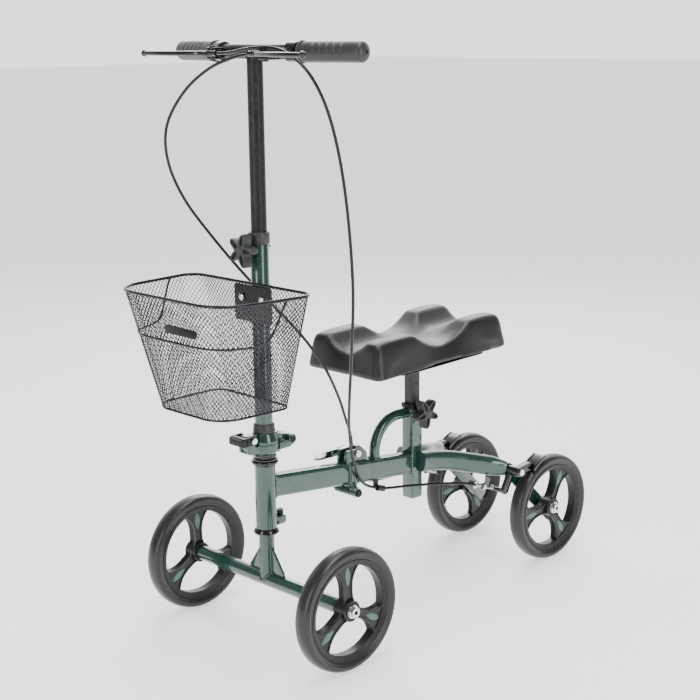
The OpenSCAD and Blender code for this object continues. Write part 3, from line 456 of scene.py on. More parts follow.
darkTones = (0.006, 0.006, 0.007), (0.003, 0.003, 0.004)
finishes = {
    "green": paintFinish("greenLacquer", (0.016, 0.060, 0.047), (0.010, 0.043, 0.033), 0.24, 0.25),
    "blackPaint": paintFinish("blackGloss", *darkTones, 0.2, 0.0, 0.01, 0.35, 0.4),
    "satin": paintFinish("blackSatin", *darkTones, 0.42, 0.0, 0.01, 0.0, 0.28),
    "post": paintFinish("postSatin", (0.034, 0.035, 0.037), (0.022, 0.023, 0.025), 0.44, 0.1, 0.05,
                        0.0, 0.35),
    "plastic": plasticFinish("blackMoulding", (0.007, 0.007, 0.008), 0.36),
    "knob": plasticFinish("knobMoulding", (0.036, 0.036, 0.039), 0.42, 700),
    "rim": plasticFinish("rimMoulding", (0.013, 0.013, 0.014), 0.34, 800),
    "inset": plasticFinish("greenInset", (0.085, 0.165, 0.120), 0.42, 1000, pale=1.15),
    "oxide": metalFinish("blackOxide", (0.035, 0.035, 0.037), 0.3, 0.15),
    "chrome": metalFinish("brightPlating", (0.86, 0.87, 0.88), 0.09),
    "steel": metalFinish("groundSteel", (0.60, 0.60, 0.61), 0.28, 0.14, (1, 8, 1)),
    "wire": plasticFinish("dippedWire", (0.005, 0.004, 0.008), 0.28, 500),
    "grip": rubberFinish("gripRubber", (0.026, 0.027, 0.029), 0.42, 0.1),
    "cable": plasticFinish("cableSheath", (0.006, 0.006, 0.009), 0.2, 600),
    "tyre": rubberFinish("tyreCompound", (0.020, 0.020, 0.021), 0.33, 0.03, 0.15, 900),
}
print("finishes ready")

# ---- front frame, on the floor's body
def beamCentre(x):
    return Vector((x, 0, axleZ + 159 - (stemX - x) * layout["beamSlope"]))


beam = {"width": 25, "height": 38, "corner": 6.5, "sleeve": 2.4, "plate": 7, "footLow": 216.6}
beamRing = boxSection(beam["width"], beam["height"], beam["corner"])


def beamLoop(x, grow):
    # the beam's outline where a vertical plane cuts it
    c = beamCentre(x)
    return [Vector((x, u, c.z + v * 1.0055))
            for u, v in boxSection(beam["width"] + grow, beam["height"] + grow, beam["corner"])]


def jointPlate(foot):
    top, low = beamTop, beam["footLow"]
    return roundedOutline([(-12, top + 3, 2), (-17, top - 3, 3), (-17, low + 10, 4), (-foot, low, 1),
                           (foot, low, 1), (17, low + 10, 4), (17, top - 3, 3), (12, top + 3, 2)])


def placedYz(x):
    # an outline drawn in (y, z) and extruded along X from x
    return shift(x, 0, 0) @ Matrix(((0, 0, 1, 0), (1, 0, 0, 0), (0, 1, 0, 0), (0, 0, 0, 1)))


def placedXz(y):
    # an outline drawn in (x, z) and extruded along -Y from y
    return shift(0, y, 0) @ turn(90, "X")


def knuckle(low, high):
    # a barrel of a hinge, about its pin
    return lathe([(0, low), (7.2, low), (8, low + 0.8), (8, high - 0.8), (7.2, high), (0, high)], 32)


frontFrame = Shell()
headTube = tube([(14.5, 189.5), (15.5, 189), (16.5, 189), (17, 189.5), (17, 295.5), (16.5, 296),
                 (15.5, 296), (14.5, 295.5)])
frontFrame.add(headTube, shift(stemX, 0, 0))
frontFrame.add(sweep([beamCentre(jointX + 3), beamCentre(stemX - 12)], beamRing, up=upright))
frontFrame.add(plate(jointPlate(22.5), 0, beam["plate"], 1.3), placedYz(jointX))
headWeld = []
for u, v in boxSection(beam["width"] + 1, beam["height"] + 1, beam["corner"], 3):
    x = stemX - math.sqrt(max(17.3 ** 2 - u * u, 0))
    headWeld.append((x, u, beamCentre(x).z + v))
frontFrame.add(weldBead(headWeld, 2.1))
frontFrame.add(weldBead([p + Vector((beam["plate"] + 0.4, 0, 0)) for p in beamLoop(jointX, 1.4)], 1.9))
for side in (1, -1):
    frontFrame.add(knuckle(10, 26.5), shift(jointX, 0, hingeZ) @ turn(-90 * side, "X"))
    neck = plate([(jointX, hingeZ), (jointX + 7, hingeZ), (jointX + 7, 219), (jointX, 219)],
                         0, 16.5, 0.8)
    frontFrame.add(neck, placedXz(26.5 if side > 0 else -10))
    frontFrame.side([(jointX, 253, 0), (jointX + 14, 253, 2), (jointX + 14, 281.2, 6),
                     (jointX - 20, 281.2, 8), (jointX - 20, 262.2, 8), (jointX, 262.2, 1)],
                    5.6, 1.0, 12 if side > 0 else -6.4)
frontFrame.side([(stemX - 36, 190, 3), (stemX - 14, 190, 0), (stemX - 14, 204, 0),
                 (stemX - 36, 204, 3)], 7.8, 1.5, 9, -1.2)
frontFrame.add(plate([(stemX - 20, 190), (stemX - 14, 190), (stemX - 14, 204), (stemX - 20, 204)],
                             0, 18, 0.8), placedXz(9))
piece("frontFrameShell", frontFrame, "green", "root", "front_frame")

pin = lathe([(0, -29), (5.6, -29), (6.4, -28.2), (6.4, -26.5), (3.9, -26.5), (3.9, 26.5), (6.4, 26.5),
             (6.4, 28.2), (5.6, 29), (3.4, 29), (3, 28.2), (0, 28)], 32)
piece("jointPin", Shell().add(pin, shift(jointX, 0, hingeZ) @ lying), "oxide", "root",
      "frame_hinge_pin")

headset = {"topZ": 296, "lowZ": 189}
cups = Shell()
cups.add(tube([(14, 0), (17.2, 0), (19, 0.6), (22, 4.4), (22.5, 5.4), (22.5, 7), (21.8, 8), (14, 8)]),
         shift(stemX, 0, headset["topZ"]))
cups.add(tube([(14, 0), (20.4, 0), (21, 0.7), (21, 2.4), (18.6, 6), (17.3, 8), (14, 8)]),
         shift(stemX, 0, headset["lowZ"] - 8))
piece("headsetCups", cups, "blackPaint", "root", "headset_cups")

# ---- the frame joint's latch
latch = {"x": jointX - 11, "z": 273.555, "eyeY": -19}
rod = Shell()
rod.add(lathe([(0, -21), (2.4, -21), (3, -20.4), (3, 12), (5.6, 12), (6, 12.6), (6, 16.6), (5.4, 17.2),
               (3.2, 17.4), (3, 19), (0, 19.4)], 24), lying)
rod.add(lathe([(0, -7), (1.7, -7), (2, -6.7), (2, 6.7), (1.7, 7), (0, 7)], 24), shift(0, latch["eyeY"], 0))
rod.add(lathe([(0, -2.8), (4, -2.8), (4.5, -2.3), (4.5, 2.3), (4, 2.8), (0, 2.8)], 32),
        shift(0, latch["eyeY"], 0))
piece("latchRod", rod.moved(shift(latch["x"], 0, latch["z"])), "chrome", "root", "latch_skewer")

latchLever = Shell()
cam = roundedOutline([(-6.2, -6, 6), (2, -6.4, 3), (14, -2.8, 8), (52, -3.4, 10), (66, -7.5, 2),
                      (67, -3.6, 2), (53, 2.4, 10), (14, 3.2, 8), (2, 6.2, 3), (-6.2, 6, 6)])
for z in (3.4, -6.5):
    latchLever.add(plate([q for q in cam if q[0] < 16], 0, 3.1, 0.7), shift(0, 0, z))
blade = roundedOutline([(7.5, -4.5, 2), (20, -3, 8), (52, -3.6, 10), (65.5, -7.6, 1.6),
                        (66.8, -3.4, 1.6), (53, 1.8, 10), (20, 2.4, 8), (7.5, 4.5, 2)])
latchLever.add(plate(blade, -6.5, 6.5, 1.6, 4))
piece("latchHandle", latchLever.moved(shift(latch["x"], latch["eyeY"], latch["z"])), "chrome",
      "latch_lever", "latch_lever")

# ---- steered front end
front = Shell()
front.add(tube([(10.7, 104), (12.7, 104), (12.7, 177), (17, 178), (18, 179.2), (18, 180.5), (14, 181),
                (12.7, 181), (12.7, 332), (10.7, 332)]), shift(stemX, 0, 0))
axle = [(0, -169.5), (11, -169.5), (12.5, -168), (12.5, 168), (11, 169.5), (0, 169.5)]
front.add(lathe(axle, 64), shift(stemX, 0, axleZ) @ lying)
web = roundedOutline([(8, 104, 0), (40, 104, 0), (40.5, 117.5, 1), (12, 157.5, 1), (8, 157.5, 0)])
front.both(plate(web, 0, 5, 0.7), placedYz(stemX - 2.5))
collarPath = arcPoints((stemX, 0, axleZ + 12.2), 13.2, 0, 345, 23, "xy")
for q in collarPath:
    q.z = axleZ + math.sqrt(max(12.6 ** 2 - (q.x - stemX) ** 2, 0)) + 0.4
front.add(weldBead(collarPath, 2.1))
for side in (1, -1):
    for dx in (-2.9, 2.9):
        foot = [Vector((stemX + dx, side * (13 + 27 * k / 12), axleZ + 12.4)) for k in range(13)]
        riser = [Vector((stemX + dx, side * 13.0, axleZ + 13 + 43 * k / 14)) for k in range(15)]
        for run in (foot, riser):
            front.add(sweep(run, ringSection(1.5, 8),
                            grow=lambda t: 0.8 + 0.3 * abs(math.sin(math.pi * 9 * t))))
    front.add(softened(lathe([(0, 0), (12, 0), (12, 2.6), (0, 2.6)], 48), 0.7),
              shift(stemX, side * 168.2, axleZ) @ turn(-90 * side, "X"))
piece("frontAxleFrame", front, "green", "steering", "front_fork")

nuts = Shell()
nuts.add(tube([(12.8, 0), (17, 0), (20, 0.8), (20, 3), (18.4, 4.2), (12.8, 4.2)]),
         shift(stemX, 0, 304.4))
nuts.add(tube([(12.8, 0), (16.6, 0), (17, 0.5), (17, 2.4), (12.8, 2.6)]),
         shift(stemX, 0, 308.5))
nuts.add(softened(tube([(12.8, 0), (19.2, 0), (19.2, 4.9), (12.8, 4.9)], 8), 0.6),
         shift(stemX, 0, 311))
piece("headsetLocknuts", nuts, "blackPaint", "steering", "headset_locknuts")

# ---- the stem's folding clamp
clamp = {"pinX": 212.75, "rodX": 294.75, "rodZ": 346}


def clampRing(z, radius, nose, tail, noseHalf=11.5, tailHalf=15):
    # an oval outline: round about the stem, with a nose in front and a tail behind
    made = []
    for k in range(64):
        a = 2 * math.pi * k / 64
        x, y = radius * math.cos(a), radius * math.sin(a)
        if x > 0 and abs(y) < noseHalf:
            x = max(x, min(nose, nose - (nose - radius) * (abs(y) / noseHalf) ** 6))
        if x < 0 and abs(y) < tailHalf:
            x = min(x, -tail + (tail - radius) * (abs(y) / tailHalf) ** 8)
        made.append((x, y, z))
    return made


lowerClamp = Shell()
lowerClamp.add(softened(loft([clampRing(316, 19.5, 21, 20), clampRing(321, 23, 38, 26),
                              clampRing(332.85, 23, 44, 28)]), 1.4, 4, 24), shift(stemX, 0, 0))
lowerClamp.side([(stemX + 20, 320, 1), (stemX + 44, 322, 5), (stemX + 44, 351, 7),
                 (stemX + 30, 351, 6), (stemX + 29, 333, 2), (stemX + 20, 333, 1)], 5.6, 1.2, 12, -6.4)
for low, high in ((10, 19), (-19, -10)):
    lowerClamp.add(knuckle(low, high), shift(clamp["pinX"], 0, foldZ) @ lying)
    lowerClamp.side([(clamp["pinX"] - 4, 326.5, 2), (clamp["pinX"] + 6, 321, 3),
                     (stemX - 17, 321, 0), (stemX - 17, 332.8, 0), (clamp["pinX"], 332.8, 0)], 9, 1.0, high)
piece("clampLowerHalf", lowerClamp, "green", "steering", "clamp_base")

upperClamp = Shell()
upperRings = [clampRing(333.15, 23, 43, 28, 5.6, 9.4), clampRing(338.5, 23, 43, 28, 5.6, 9.4),
              clampRing(344, 20.5, 41, 24, 5.4, 8), clampRing(351, 18.4, 18.4, 18.4)]
upperClamp.add(softened(loft(upperRings), 1.2, 4, 24), shift(stemX, 0, 0))
upperClamp.side([(stemX + 16, 334, 1), (stemX + 31.5, 334, 1), (stemX + 32.5, 341, 4),
                 (stemX + 37, 351.5, 5), (stemX + 44, 350.5, 2), (stemX + 43, 352, 1),
                 (stemX + 22, 352, 6), (stemX + 16, 347, 1)], 11.4, 1.2, 5.7)
upperClamp.add(knuckle(-9.7, 9.7),
               shift(clamp["pinX"], 0, foldZ) @ lying)
upperClamp.side([(clamp["pinX"] - 4, 334, 1), (stemX - 16, 333.6, 0), (stemX - 16, 347, 2),
                 (clamp["pinX"] + 6, 341, 4), (clamp["pinX"] - 4, 340, 3)], 19.4, 1.2, 9.7)
piece("clampUpperHalf", upperClamp, "green", "stem", "clamp_top")

foldPin = lathe([(0, -21), (4.4, -21), (5.2, -20.2), (5.6, -19), (3.9, -19), (3.9, 19), (5.6, 19),
                 (5.2, 20.2), (4.4, 21), (2.6, 21), (2.2, 20.2), (0, 20)], 32)
piece("stemFoldPin", Shell().add(foldPin, shift(clamp["pinX"], 0, foldZ) @ lying), "oxide",
      "steering", "stem_fold_pin")
clampRod = lathe([(0, -21), (4.6, -21), (5.5, -20), (5.5, -18.5), (3, -18.5), (3, 18.5), (5.5, 18.5),
                  (5.5, 20), (4.6, 21), (0, 21)], 32)
piece("clampRod", Shell().add(clampRod, shift(clamp["rodX"], 0, clamp["rodZ"]) @ lying),
      "chrome", "steering", "clamp_skewer")
handle = Shell()
handle.side([(-7.5, 0, 7.4), (-3, 7.5, 5), (16, 6.5, 2), (16, -7, 2), (-3, -7.5, 5)], 5.5, 1.2, 17.8, -12.3)
handle.side([(11, -8, 3), (23.5, -7.5, 4), (22.5, 6, 4), (11, 7, 3)], 35.6, 2.2, 17.8, segments=4)
for k in range(4):
    rib = roundedOutline([(21.0, -6.2 + 3.2 * k, 0.6), (23.7, -6.2 + 3.2 * k, 0.6),
                          (23.7, -4.8 + 3.2 * k, 0.6), (21.0, -4.8 + 3.2 * k, 0.6)])
    handle.add(slab(rib, 0, 28), placedXz(14))
piece("clampHandle", handle.moved(shift(clamp["rodX"], 0, clamp["rodZ"])), "plastic",
      "clamp_lever", "clamp_lever")
print("front end ready")

# ---- rear frame
joint = {"plateX": jointX - 7.3, "sleeveStart": jointX - 39}
backPlate = roundedOutline([(-12, beamTop + 3, 2), (-17, beamTop - 3, 3), (-17, beam["footLow"], 2),
                            (17, beam["footLow"], 2), (17, beamTop - 3, 3), (12, beamTop + 3, 2)])
beamShell = Shell()
beamShell.add(sweep([beamCentre(seatX + 11), beamCentre(joint["plateX"] + 1)], beamRing, up=upright))
sleevePath = [beamCentre(joint["sleeveStart"] + 3 * t) for t in (0, 0.4, 1)]
sleevePath.append(beamCentre(joint["plateX"] + 1))
sleeve = boxSection(beam["width"] + beam["sleeve"], beam["height"] + beam["sleeve"], beam["corner"] + 1)
beamShell.add(sweep(sleevePath, sleeve, up=upright,
                    grow=lambda t: 0.955 if t < 0.1 else (0.988 if t < 0.4 else 1)))
beamShell.add(plate(backPlate, 0, beam["plate"], 1.3), placedYz(joint["plateX"]))
beamShell.add(knuckle(-9.7, 9.7),
              shift(jointX, 0, hingeZ) @ lying)
beamShell.side([(jointX - 7.3, 209, 0), (jointX - 7.3, 218, 0), (jointX - 0.4, 218, 0),
                (jointX + 3, 212, 1), (jointX, 204, 1)], 19.4, 0.6, 9.7)
beamShell.side([(jointX - 42, 252, 0), (jointX - 7, 252, 0), (jointX - 7, 262, 1),
                (jointX - 15, 266, 3), (jointX - 15, 277, 2), (jointX - 13, 284.5, 3),
                (jointX - 24, 284.5, 6), (jointX - 42, 268, 10)], 11.6, 1.2, 5.8)
beamShell.add(weldBead([p + Vector((-0.4, 0, 0)) for p in beamLoop(joint["plateX"], 3.6)], 1.9))
beamShell.add(weldBead([p + Vector((1.0, 0, 0)) for p in beamLoop(seatX + 13, 1.2)], 2.0))
piece("beamShell", beamShell, "green", "rear_frame", "rear_beam")

tubeShell = Shell()
outerSquare, innerSquare = boxSection(26, 26, 2.6), boxSection(20.6, 20.6, 1)
tubeShell.add(stack((innerSquare, 160), (boxSection(25.2, 25.2, 2.3), 159), (outerSquare, 159.6),
                    (outerSquare, 330.5), (innerSquare, 331), closed=True), shift(seatX, 0, 0))
boss = tube([(3.2, 12), (7.6, 12), (8, 13), (8, 20.3), (7.4, 21), (3.2, 21)], 48)
tubeShell.add(boss, shift(seatX, 0, layout["seatKnobZ"]) @ lying)
tubeShell.add(weldBead([(seatX + 8.4 * math.cos(a / 20 * math.pi), 13.3,
                         layout["seatKnobZ"] + 8.4 * math.sin(a / 20 * math.pi)) for a in range(40)], 1.3))
piece("seatTubeShell", tubeShell, "green", "rear_frame", "seat_tube")

capLevels = [(boxSection(w, w, r), z) for w, r, z in (
    (26.1, 2.6, 325), (28.8, 3.4, 325.2), (29.4, 3.6, 326), (29.4, 3.6, 332.2), (28.2, 3.4, 333),
    (20.6, 1, 333))]
piece("tubeCap", Shell().add(stack(*capLevels, closed=True), shift(seatX, 0, 0)), "plastic",
      "rear_frame", "seat_tube_cap")

arch = {"radius": 58, "tube": 9.5, "topZ": 318, "startX": seatX + 13}
archPath = [Vector((arch["startX"] - 1, 0, arch["topZ"])), Vector((arch["startX"] + 12, 0, arch["topZ"]))]
archPath += arcPoints((arch["startX"] + 25, 0, arch["topZ"] - arch["radius"]), arch["radius"], 90, 0, 22)
footX = arch["startX"] + 25 + arch["radius"]
archPath.append(Vector((footX, 0, beamCentre(footX).z + 14)))
archShell = Shell().add(sweep(archPath, ringSection(arch["tube"], 40)))
archShell.add(weldBead([(arch["startX"] + 1.0, 10.2 * math.cos(a / 20 * math.pi),
                         arch["topZ"] + 10.2 * math.sin(a / 20 * math.pi)) for a in range(40)], 1.7))
archFoot = []
for a in range(48):
    u, v = 10.6 * math.cos(a / 24 * math.pi), 10.6 * math.sin(a / 24 * math.pi)
    drop = max(0, abs(v) - 6) * 0.28
    archFoot.append((footX + u, v, beamCentre(footX + u).z + 19.6 - drop))
archShell.add(weldBead(archFoot, 1.9))
piece("archShell", archShell, "green", "rear_frame", "arch_tube")

brake = {"pivotRadius": 132, "pivotAngle": 42.9, "anchorRadius": 128, "anchorAngle": 25, "turn": 4,
         "shoeFrom": 54, "shoeTo": 76, "shoeThick": 5, "gap": 0.5}
pivotX, pivotZ = -253.554, 189.855
dropout = {"inner": 81.5, "outer": 87.5}


def armShell():
    side, startZ = 13, beamCentre(seatX).z + 6
    reach, fall = seatX - pivotX, beamCentre(seatX).z + 6 - pivotZ
    route = [(seatX + 4, side + 11, startZ), (seatX - reach * 0.15, side + 12, startZ - fall * 0.1),
             (seatX - reach * 0.38, side + 19, startZ - fall * 0.27),
             (seatX - reach * 0.62, side + 37, startZ - fall * 0.52),
             (seatX - reach * 0.85, dropout["inner"] - 18, startZ - fall * 0.8),
             (pivotX + 4, dropout["inner"] + 3, pivotZ + 2)]
    made = Shell()
    made.add(sweep(curvePoints(route, 7), ovalSection(24, 36, 2.7, 40), up=upright,
                   grow=lambda t: (1 - 0.42 * max(0, t - 0.82) / 0.18, 1 - 0.3 * max(0, t - 0.82) / 0.18)
                   if t > 0 else (0.985, 0.99)))
    bar = roundedOutline([(-45, -12.5, 5), (132, -12.5, 0), (139, -10.4, 3), (144.3, -3, 6),
                          (144.3, 3, 6), (139, 10.4, 3), (132, 12.5, 0), (-45, 12.5, 5)], 6)
    lean = shift(rearX, dropout["outer"], axleZ) @ turn(-brake["pivotAngle"], "Y") @ turn(90, "X")
    made.add(plate(bar, 0, 6, 1.0), lean)
    lift = math.radians(brake["pivotAngle"])
    along = Vector((math.cos(lift), 0, math.sin(lift)))
    over = Vector((-along.z, 0, along.x))
    base = Vector((rearX, dropout["inner"] - 0.4, axleZ))
    bead = [base + along * u + over * v for u, v in roundedOutline(
        [(104, -10.5, 6), (131, -10.5, 8), (131, 10.5, 8), (104, 10.5, 6)], 6)]
    made.add(weldBead(bead, 1.7))
    return made


for name, flip in (("Left", Matrix()), ("Right", mirrored)):
    piece("rearArm" + name, armShell().moved(flip), "green", "rear_frame",
          "rear_arm_" + name.lower())
print("rear frame ready")


# ---- brake arms, their wires and springs
def polar(radius, angle):
    return Vector((radius * math.cos(math.radians(angle)), radius * math.sin(math.radians(angle))))


def released(q):
    # where a point of the brake arm is while the shoe is off the tyre
    pivot = polar(brake["pivotRadius"], brake["pivotAngle"])
    a = -math.radians(brake["turn"])
    v = q - pivot
    return pivot + Vector((v.x * math.cos(a) - v.y * math.sin(a), v.x * math.sin(a) + v.y * math.cos(a)))


def brakeArm():
    made = Shell()
    inner = 100 + brake["gap"]
    rings = []
    for k in range(17):
        a = brake["shoeFrom"] + (brake["shoeTo"] - brake["shoeFrom"]) * k / 16
        low, high = released(polar(inner, a)), released(polar(inner + brake["shoeThick"], a))
        thick = high - low
        rings.append([(low.x, 89.9, low.y), (low.x, 118.1, low.y)]
                     + [((low + thick * h).x, y, (low + thick * h).y) for y, h in
                        ((118.5, 0.15), (118.5, 0.8), (117.6, 1.0), (115.8, 1.0), (114.6, 0.72),
                         (93.4, 0.72), (92.2, 1.0), (90.4, 1.0), (89.5, 0.8), (89.5, 0.15))])
    made.add(loft(rings), shift(rearX, 0, axleZ))
    place = shift(rearX, 0, axleZ) @ turn(90, "X")
    neck = [released(polar(inner + 1, brake["shoeFrom"] + 8)),
            released(polar(inner + 1, brake["shoeFrom"])),
            polar(brake["pivotRadius"] - 8, brake["pivotAngle"]),
            polar(brake["pivotRadius"] + 8, brake["pivotAngle"]),
            released(polar(inner + brake["shoeThick"] + 10, brake["shoeFrom"] + 4))]
    neckLoop = roundedOutline([(*q, 4) for q in neck], 5)
    for y in (111, 101.5):
        made.add(plate(neckLoop, 0, 4.5, 1.0), shift(0, y, 0) @ place)
    made.add(plate(roundedOutline([(*(q * 0.995 + neck[0] * 0.005), 3) for q in neck], 3), 0, 6, 0.5),
             shift(0, 107, 0) @ place)
    leg = [polar(140, brake["pivotAngle"]), polar(124, brake["pivotAngle"]),
           polar(120, brake["anchorAngle"]), polar(128, 21.4), polar(136, brake["anchorAngle"])]
    made.add(plate(roundedOutline([(*q, 6) for q in leg], 6), 0, 8, 1.4), shift(0, 97.8, 0) @ place)
    ribs = [polar(136, 39), polar(128, 39), polar(125, 29), polar(131, 29)]
    made.add(plate(roundedOutline([(*q, 2) for q in ribs], 4), 0, 1.2, 0.5), shift(0, 98.8, 0) @ place)
    barrel = [(3.1, 89.8), (8.2, 89.8), (9, 90.6), (9, 114.9), (8.2, 115.7), (3.1, 115.7)]
    made.add(tube(barrel, 40), shift(pivotX, 0, pivotZ) @ lying)
    pinX, pinZ = polar(brake["anchorRadius"], brake["anchorAngle"])
    made.add(lathe([(0, 66), (3.7, 66), (4.5, 66.8), (4.5, 71), (3.6, 71.6), (3.6, 76), (4.5, 76.6),
                    (4.5, 93.8), (0, 93.8)], 28), shift(rearX + pinX, 0, axleZ + pinZ) @ lying)
    return made


stop = {"x": stemX - 457, "y": 71, "z": 167, "tilt": 17}
anchorX, anchorZ = polar(brake["anchorRadius"], brake["anchorAngle"])
anchor = Vector((rearX, stop["y"], axleZ)) + Vector((anchorX, 0, anchorZ))
stopPlace = shift(stop["x"], stop["y"], stop["z"]) @ turn(-stop["tilt"], "Y") @ turn(90, "Y")
for name, flip in (("Left", Matrix()), ("Right", mirrored)):
    arm = "brake_arm_" + name.lower()
    piece("brakeArm" + name, brakeArm().moved(flip), "blackPaint", arm, arm)
    stopEnd = stopPlace @ Vector((0, 0, -14))
    wire = Shell().add(sweep([stopEnd.lerp(anchor, t / 10) for t in range(11)], ringSection(0.9, 10)), flip)
    inner = piece("brakeWire" + name, wire, "steel", None)
    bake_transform(inner)
springCoils = Shell()
coil = [(3.7 * math.cos(a / 12 * 2 * math.pi), 3.7 * math.sin(a / 12 * 2 * math.pi), -19.4 - 11 * a / 84)
        for a in range(85)]
springCoils.both(sweep(coil, ringSection(0.65, 8)), stopPlace)
piece("returnSprings", springCoils, "steel", "rear_frame", "brake_springs")
print("brakes ready")

# ---- star knobs
knob = {"thick": 17, "arms": 5, "pocket": 4.5}


def starKnob(start, tip):
    # five lobes with a pocket in each; the screw runs from the knob's back to the tip
    made = Shell()
    around, rings = 130, []

    def reach(a, size):
        lobe = (0.5 + 0.5 * math.cos(knob["arms"] * a)) ** 1.15
        return size * (13.2 + 14.6 * lobe)

    def top(x, y):
        r, a = math.hypot(x, y), math.atan2(y, x)
        a = (a + math.pi / knob["arms"]) % (2 * math.pi / knob["arms"]) - math.pi / knob["arms"]
        u, v = r * math.cos(a), r * math.sin(a)
        near = math.hypot(u - min(max(u, 11.5), 21.0), v)
        depth = min(1, max(0, (4.3 - 0.06 * u - near) / 1.3))
        hub = min(1, max(0, (6.6 - r) / 1.2))
        return knob["thick"] - knob["pocket"] * depth * depth * (3 - 2 * depth) + 0.8 * hub
    for size, height in ((0.9, 0), (0.965, 0.6), (1, 2.2), (1, 14.4), (0.985, 16)):
        rings.append([(reach(2 * math.pi * k / around, size) * math.cos(2 * math.pi * k / around),
                       reach(2 * math.pi * k / around, size) * math.sin(2 * math.pi * k / around), height)
                      for k in range(around)])
    for step in range(24):
        size = 0.955 * (1 - step / 24)
        ring = []
        for k in range(around):
            a = 2 * math.pi * k / around
            x, y = reach(a, size) * math.cos(a), reach(a, size) * math.sin(a)
            ring.append((x, y, top(x, y)))
        rings.append(ring)
    rings.append([(0, 0, knob["thick"] + 0.8)])
    made.add(loft(rings), shift(0, 0, start))
    made.add(lathe([(0, -2), (8.6, -2), (9.4, -1.2), (9.4, 0.6), (0, 0.6)], 40), shift(0, 0, start))
    made.add(lathe([(0, tip), (2.5, tip), (3, tip + 0.6), (3, start), (0, start)], 24), finish=1)
    return made


for name, body, place, start, tip in (
        ("stemKnob", "stem_knob", shift(stemX, 0, layout["knobZ"]) @ turn(90, "Y") @ turn(18, "Z"),
         24.8, 12.8),
        ("seatKnob", "seat_knob", shift(seatX, 0, layout["seatKnobZ"]) @ turn(-90, "X") @ turn(12, "Z"),
         23.3, 10.3)):
    piece(name + "Shell", starKnob(start, tip).moved(place), ["knob", "chrome"],
          body, body, angle=30)

# ---- the post, its plate and the knee pad
postShell = Shell()
outerPost = boxSection(20, 20, 1.8)
postShell.add(stack((boxSection(16, 16, 1), 172), (boxSection(19, 19, 1.4), 171), (outerPost, 172),
                    (outerPost, 414)), shift(seatX, 0, 0))
for k in range(4):
    z = layout["seatKnobZ"] + 50 * (k - 2)
    if z > 334:
        for side in (1, -1):
            place = shift(seatX, side * 10.0, z) @ turn(-90 * side, "X")
            eye = tube([(3.5, 0), (4.1, 0.25), (4.4, 0.3), (4.4, 0), (3.5, -0.4)], 28)
            postShell.add(eye, place)
            postShell.add(lathe([(0, 0.12), (3.5, 0.12), (3.5, 0.05), (0, 0.05)], 28), place, 1)
piece("postShell", postShell, ["post", "oxide"], "seat", "seat_post")

pad = {"length": 338, "width": 186, "height": 62, "shiftX": 8, "tilt": 1.5, "corner": 15,
       "channel": 26, "valley": 31, "valleyX": -4.5}
padPlace = shift(seatX, 0, layout["padZ"]) @ turn(pad["tilt"], "Y")
plateShell = Shell()
lip = roundedOutline([(-98, -85, 10), (112, -85, 10), (112, 85, 10), (-98, 85, 10)], 5)
plateShell.add(plate(lip, -2.4, -0.05, 0.9), padPlace)
keel = roundedOutline([(-59, -30, 6), (59, -30, 6), (59, 30, 6), (-59, 30, 6)], 5)
plateShell.add(plate(keel, -4.4, -2.8, 0.6), padPlace)
for x in (-44, 44):
    for y in (-20, 20):
        screw = lathe([(0, -7.3), (2.6, -7.3), (2.9, -5.4), (5.2, -5.3), (5.6, -4.7), (5.6, -4.3),
                       (0, -4.3)], 24)
        plateShell.add(screw, padPlace @ shift(x, y, 0), 1)
piece("plateShell", plateShell, ["blackPaint", "oxide"], "seat", "seat_plate")


def eased(value, low, high):
    t = min(1, max(0, (value - low) / (high - low)))
    return t * t * (3 - 2 * t)


def bowl(share):
    # 1 in the middle of a rounded valley and 0 beyond its smooth shoulders
    rest = 1 - share * share
    return (rest + math.sqrt(rest * rest + 0.03)) / 2


def padTop(x, y):
    along = pad["channel"] * bowl(y / 45)
    across = pad["valley"] * bowl((x - pad["valleyX"]) / 68)
    return pad["height"] - 1.6 - (along ** 4 + across ** 4) ** 0.25


def padRing(inset, rise):
    # one level of the pad's skin: half the way round, then back in mirror image
    halfL, halfW = pad["length"] / 2 - 2.5 - inset, pad["width"] / 2 - 2.5 - inset
    corner = min(max(1.0, pad["corner"] - inset * 0.4), halfW * 0.9)
    left = [(-halfL, (halfW - corner) * (k + 0.5) / 12.5) for k in range(13)]
    left += [(-halfL + corner * (1 - math.cos(math.pi / 2 * k / 7)),
              halfW - corner * (1 - math.sin(math.pi / 2 * k / 7))) for k in range(1, 7)]
    half = left + [((halfL - corner) * (k / 30 - 1), halfW) for k in range(61)]
    half += [(-x, y) for x, y in reversed(left)]
    made = half + [(x, -y) for x, y in reversed(half)]
    return [(x, y, padTop(x, y) * rise) for x, y in made]


levels = [(1, 0.0), (0, 0.03), (1.8, 0.2), (4.6, 0.45), (7.4, 0.68), (9.4, 0.81), (11.6, 0.9),
          (14.2, 0.955), (17.5, 0.985), (21.5, 0.998)] + [(26 + 5 * k, 1.0) for k in range(13)]
padRings = [padRing(*level) for level in levels]
skin = loft(padRings, caps=False)
half = len(padRings[0]) // 2
for ring in (0, len(padRings) - 1):
    start = ring * half * 2
    for k in range(half - 1):
        face = [start + k, start + k + 1, start + 2 * half - 2 - k, start + 2 * half - 1 - k]
        skin[1].append(face if ring else face[::-1])
padPiece = piece("kneePad", Shell().add(skin, padPlace @ shift(pad["shiftX"], 0, 0.4)), [], None, angle=60)
cure = padPiece.modifiers.new("even", "REMESH")
cure.mode, cure.voxel_size = "VOXEL", 0.0045
bpy.context.view_layer.objects.active = padPiece
bpy.context.view_layer.update()


def settled(thing):
    # the piece's mesh with its modifiers applied
    bpy.context.view_layer.update()
    graph = bpy.context.evaluated_depsgraph_get()
    made = bpy.data.meshes.new_from_object(thing.evaluated_get(graph))
    thing.modifiers.clear()
    thing.data = made


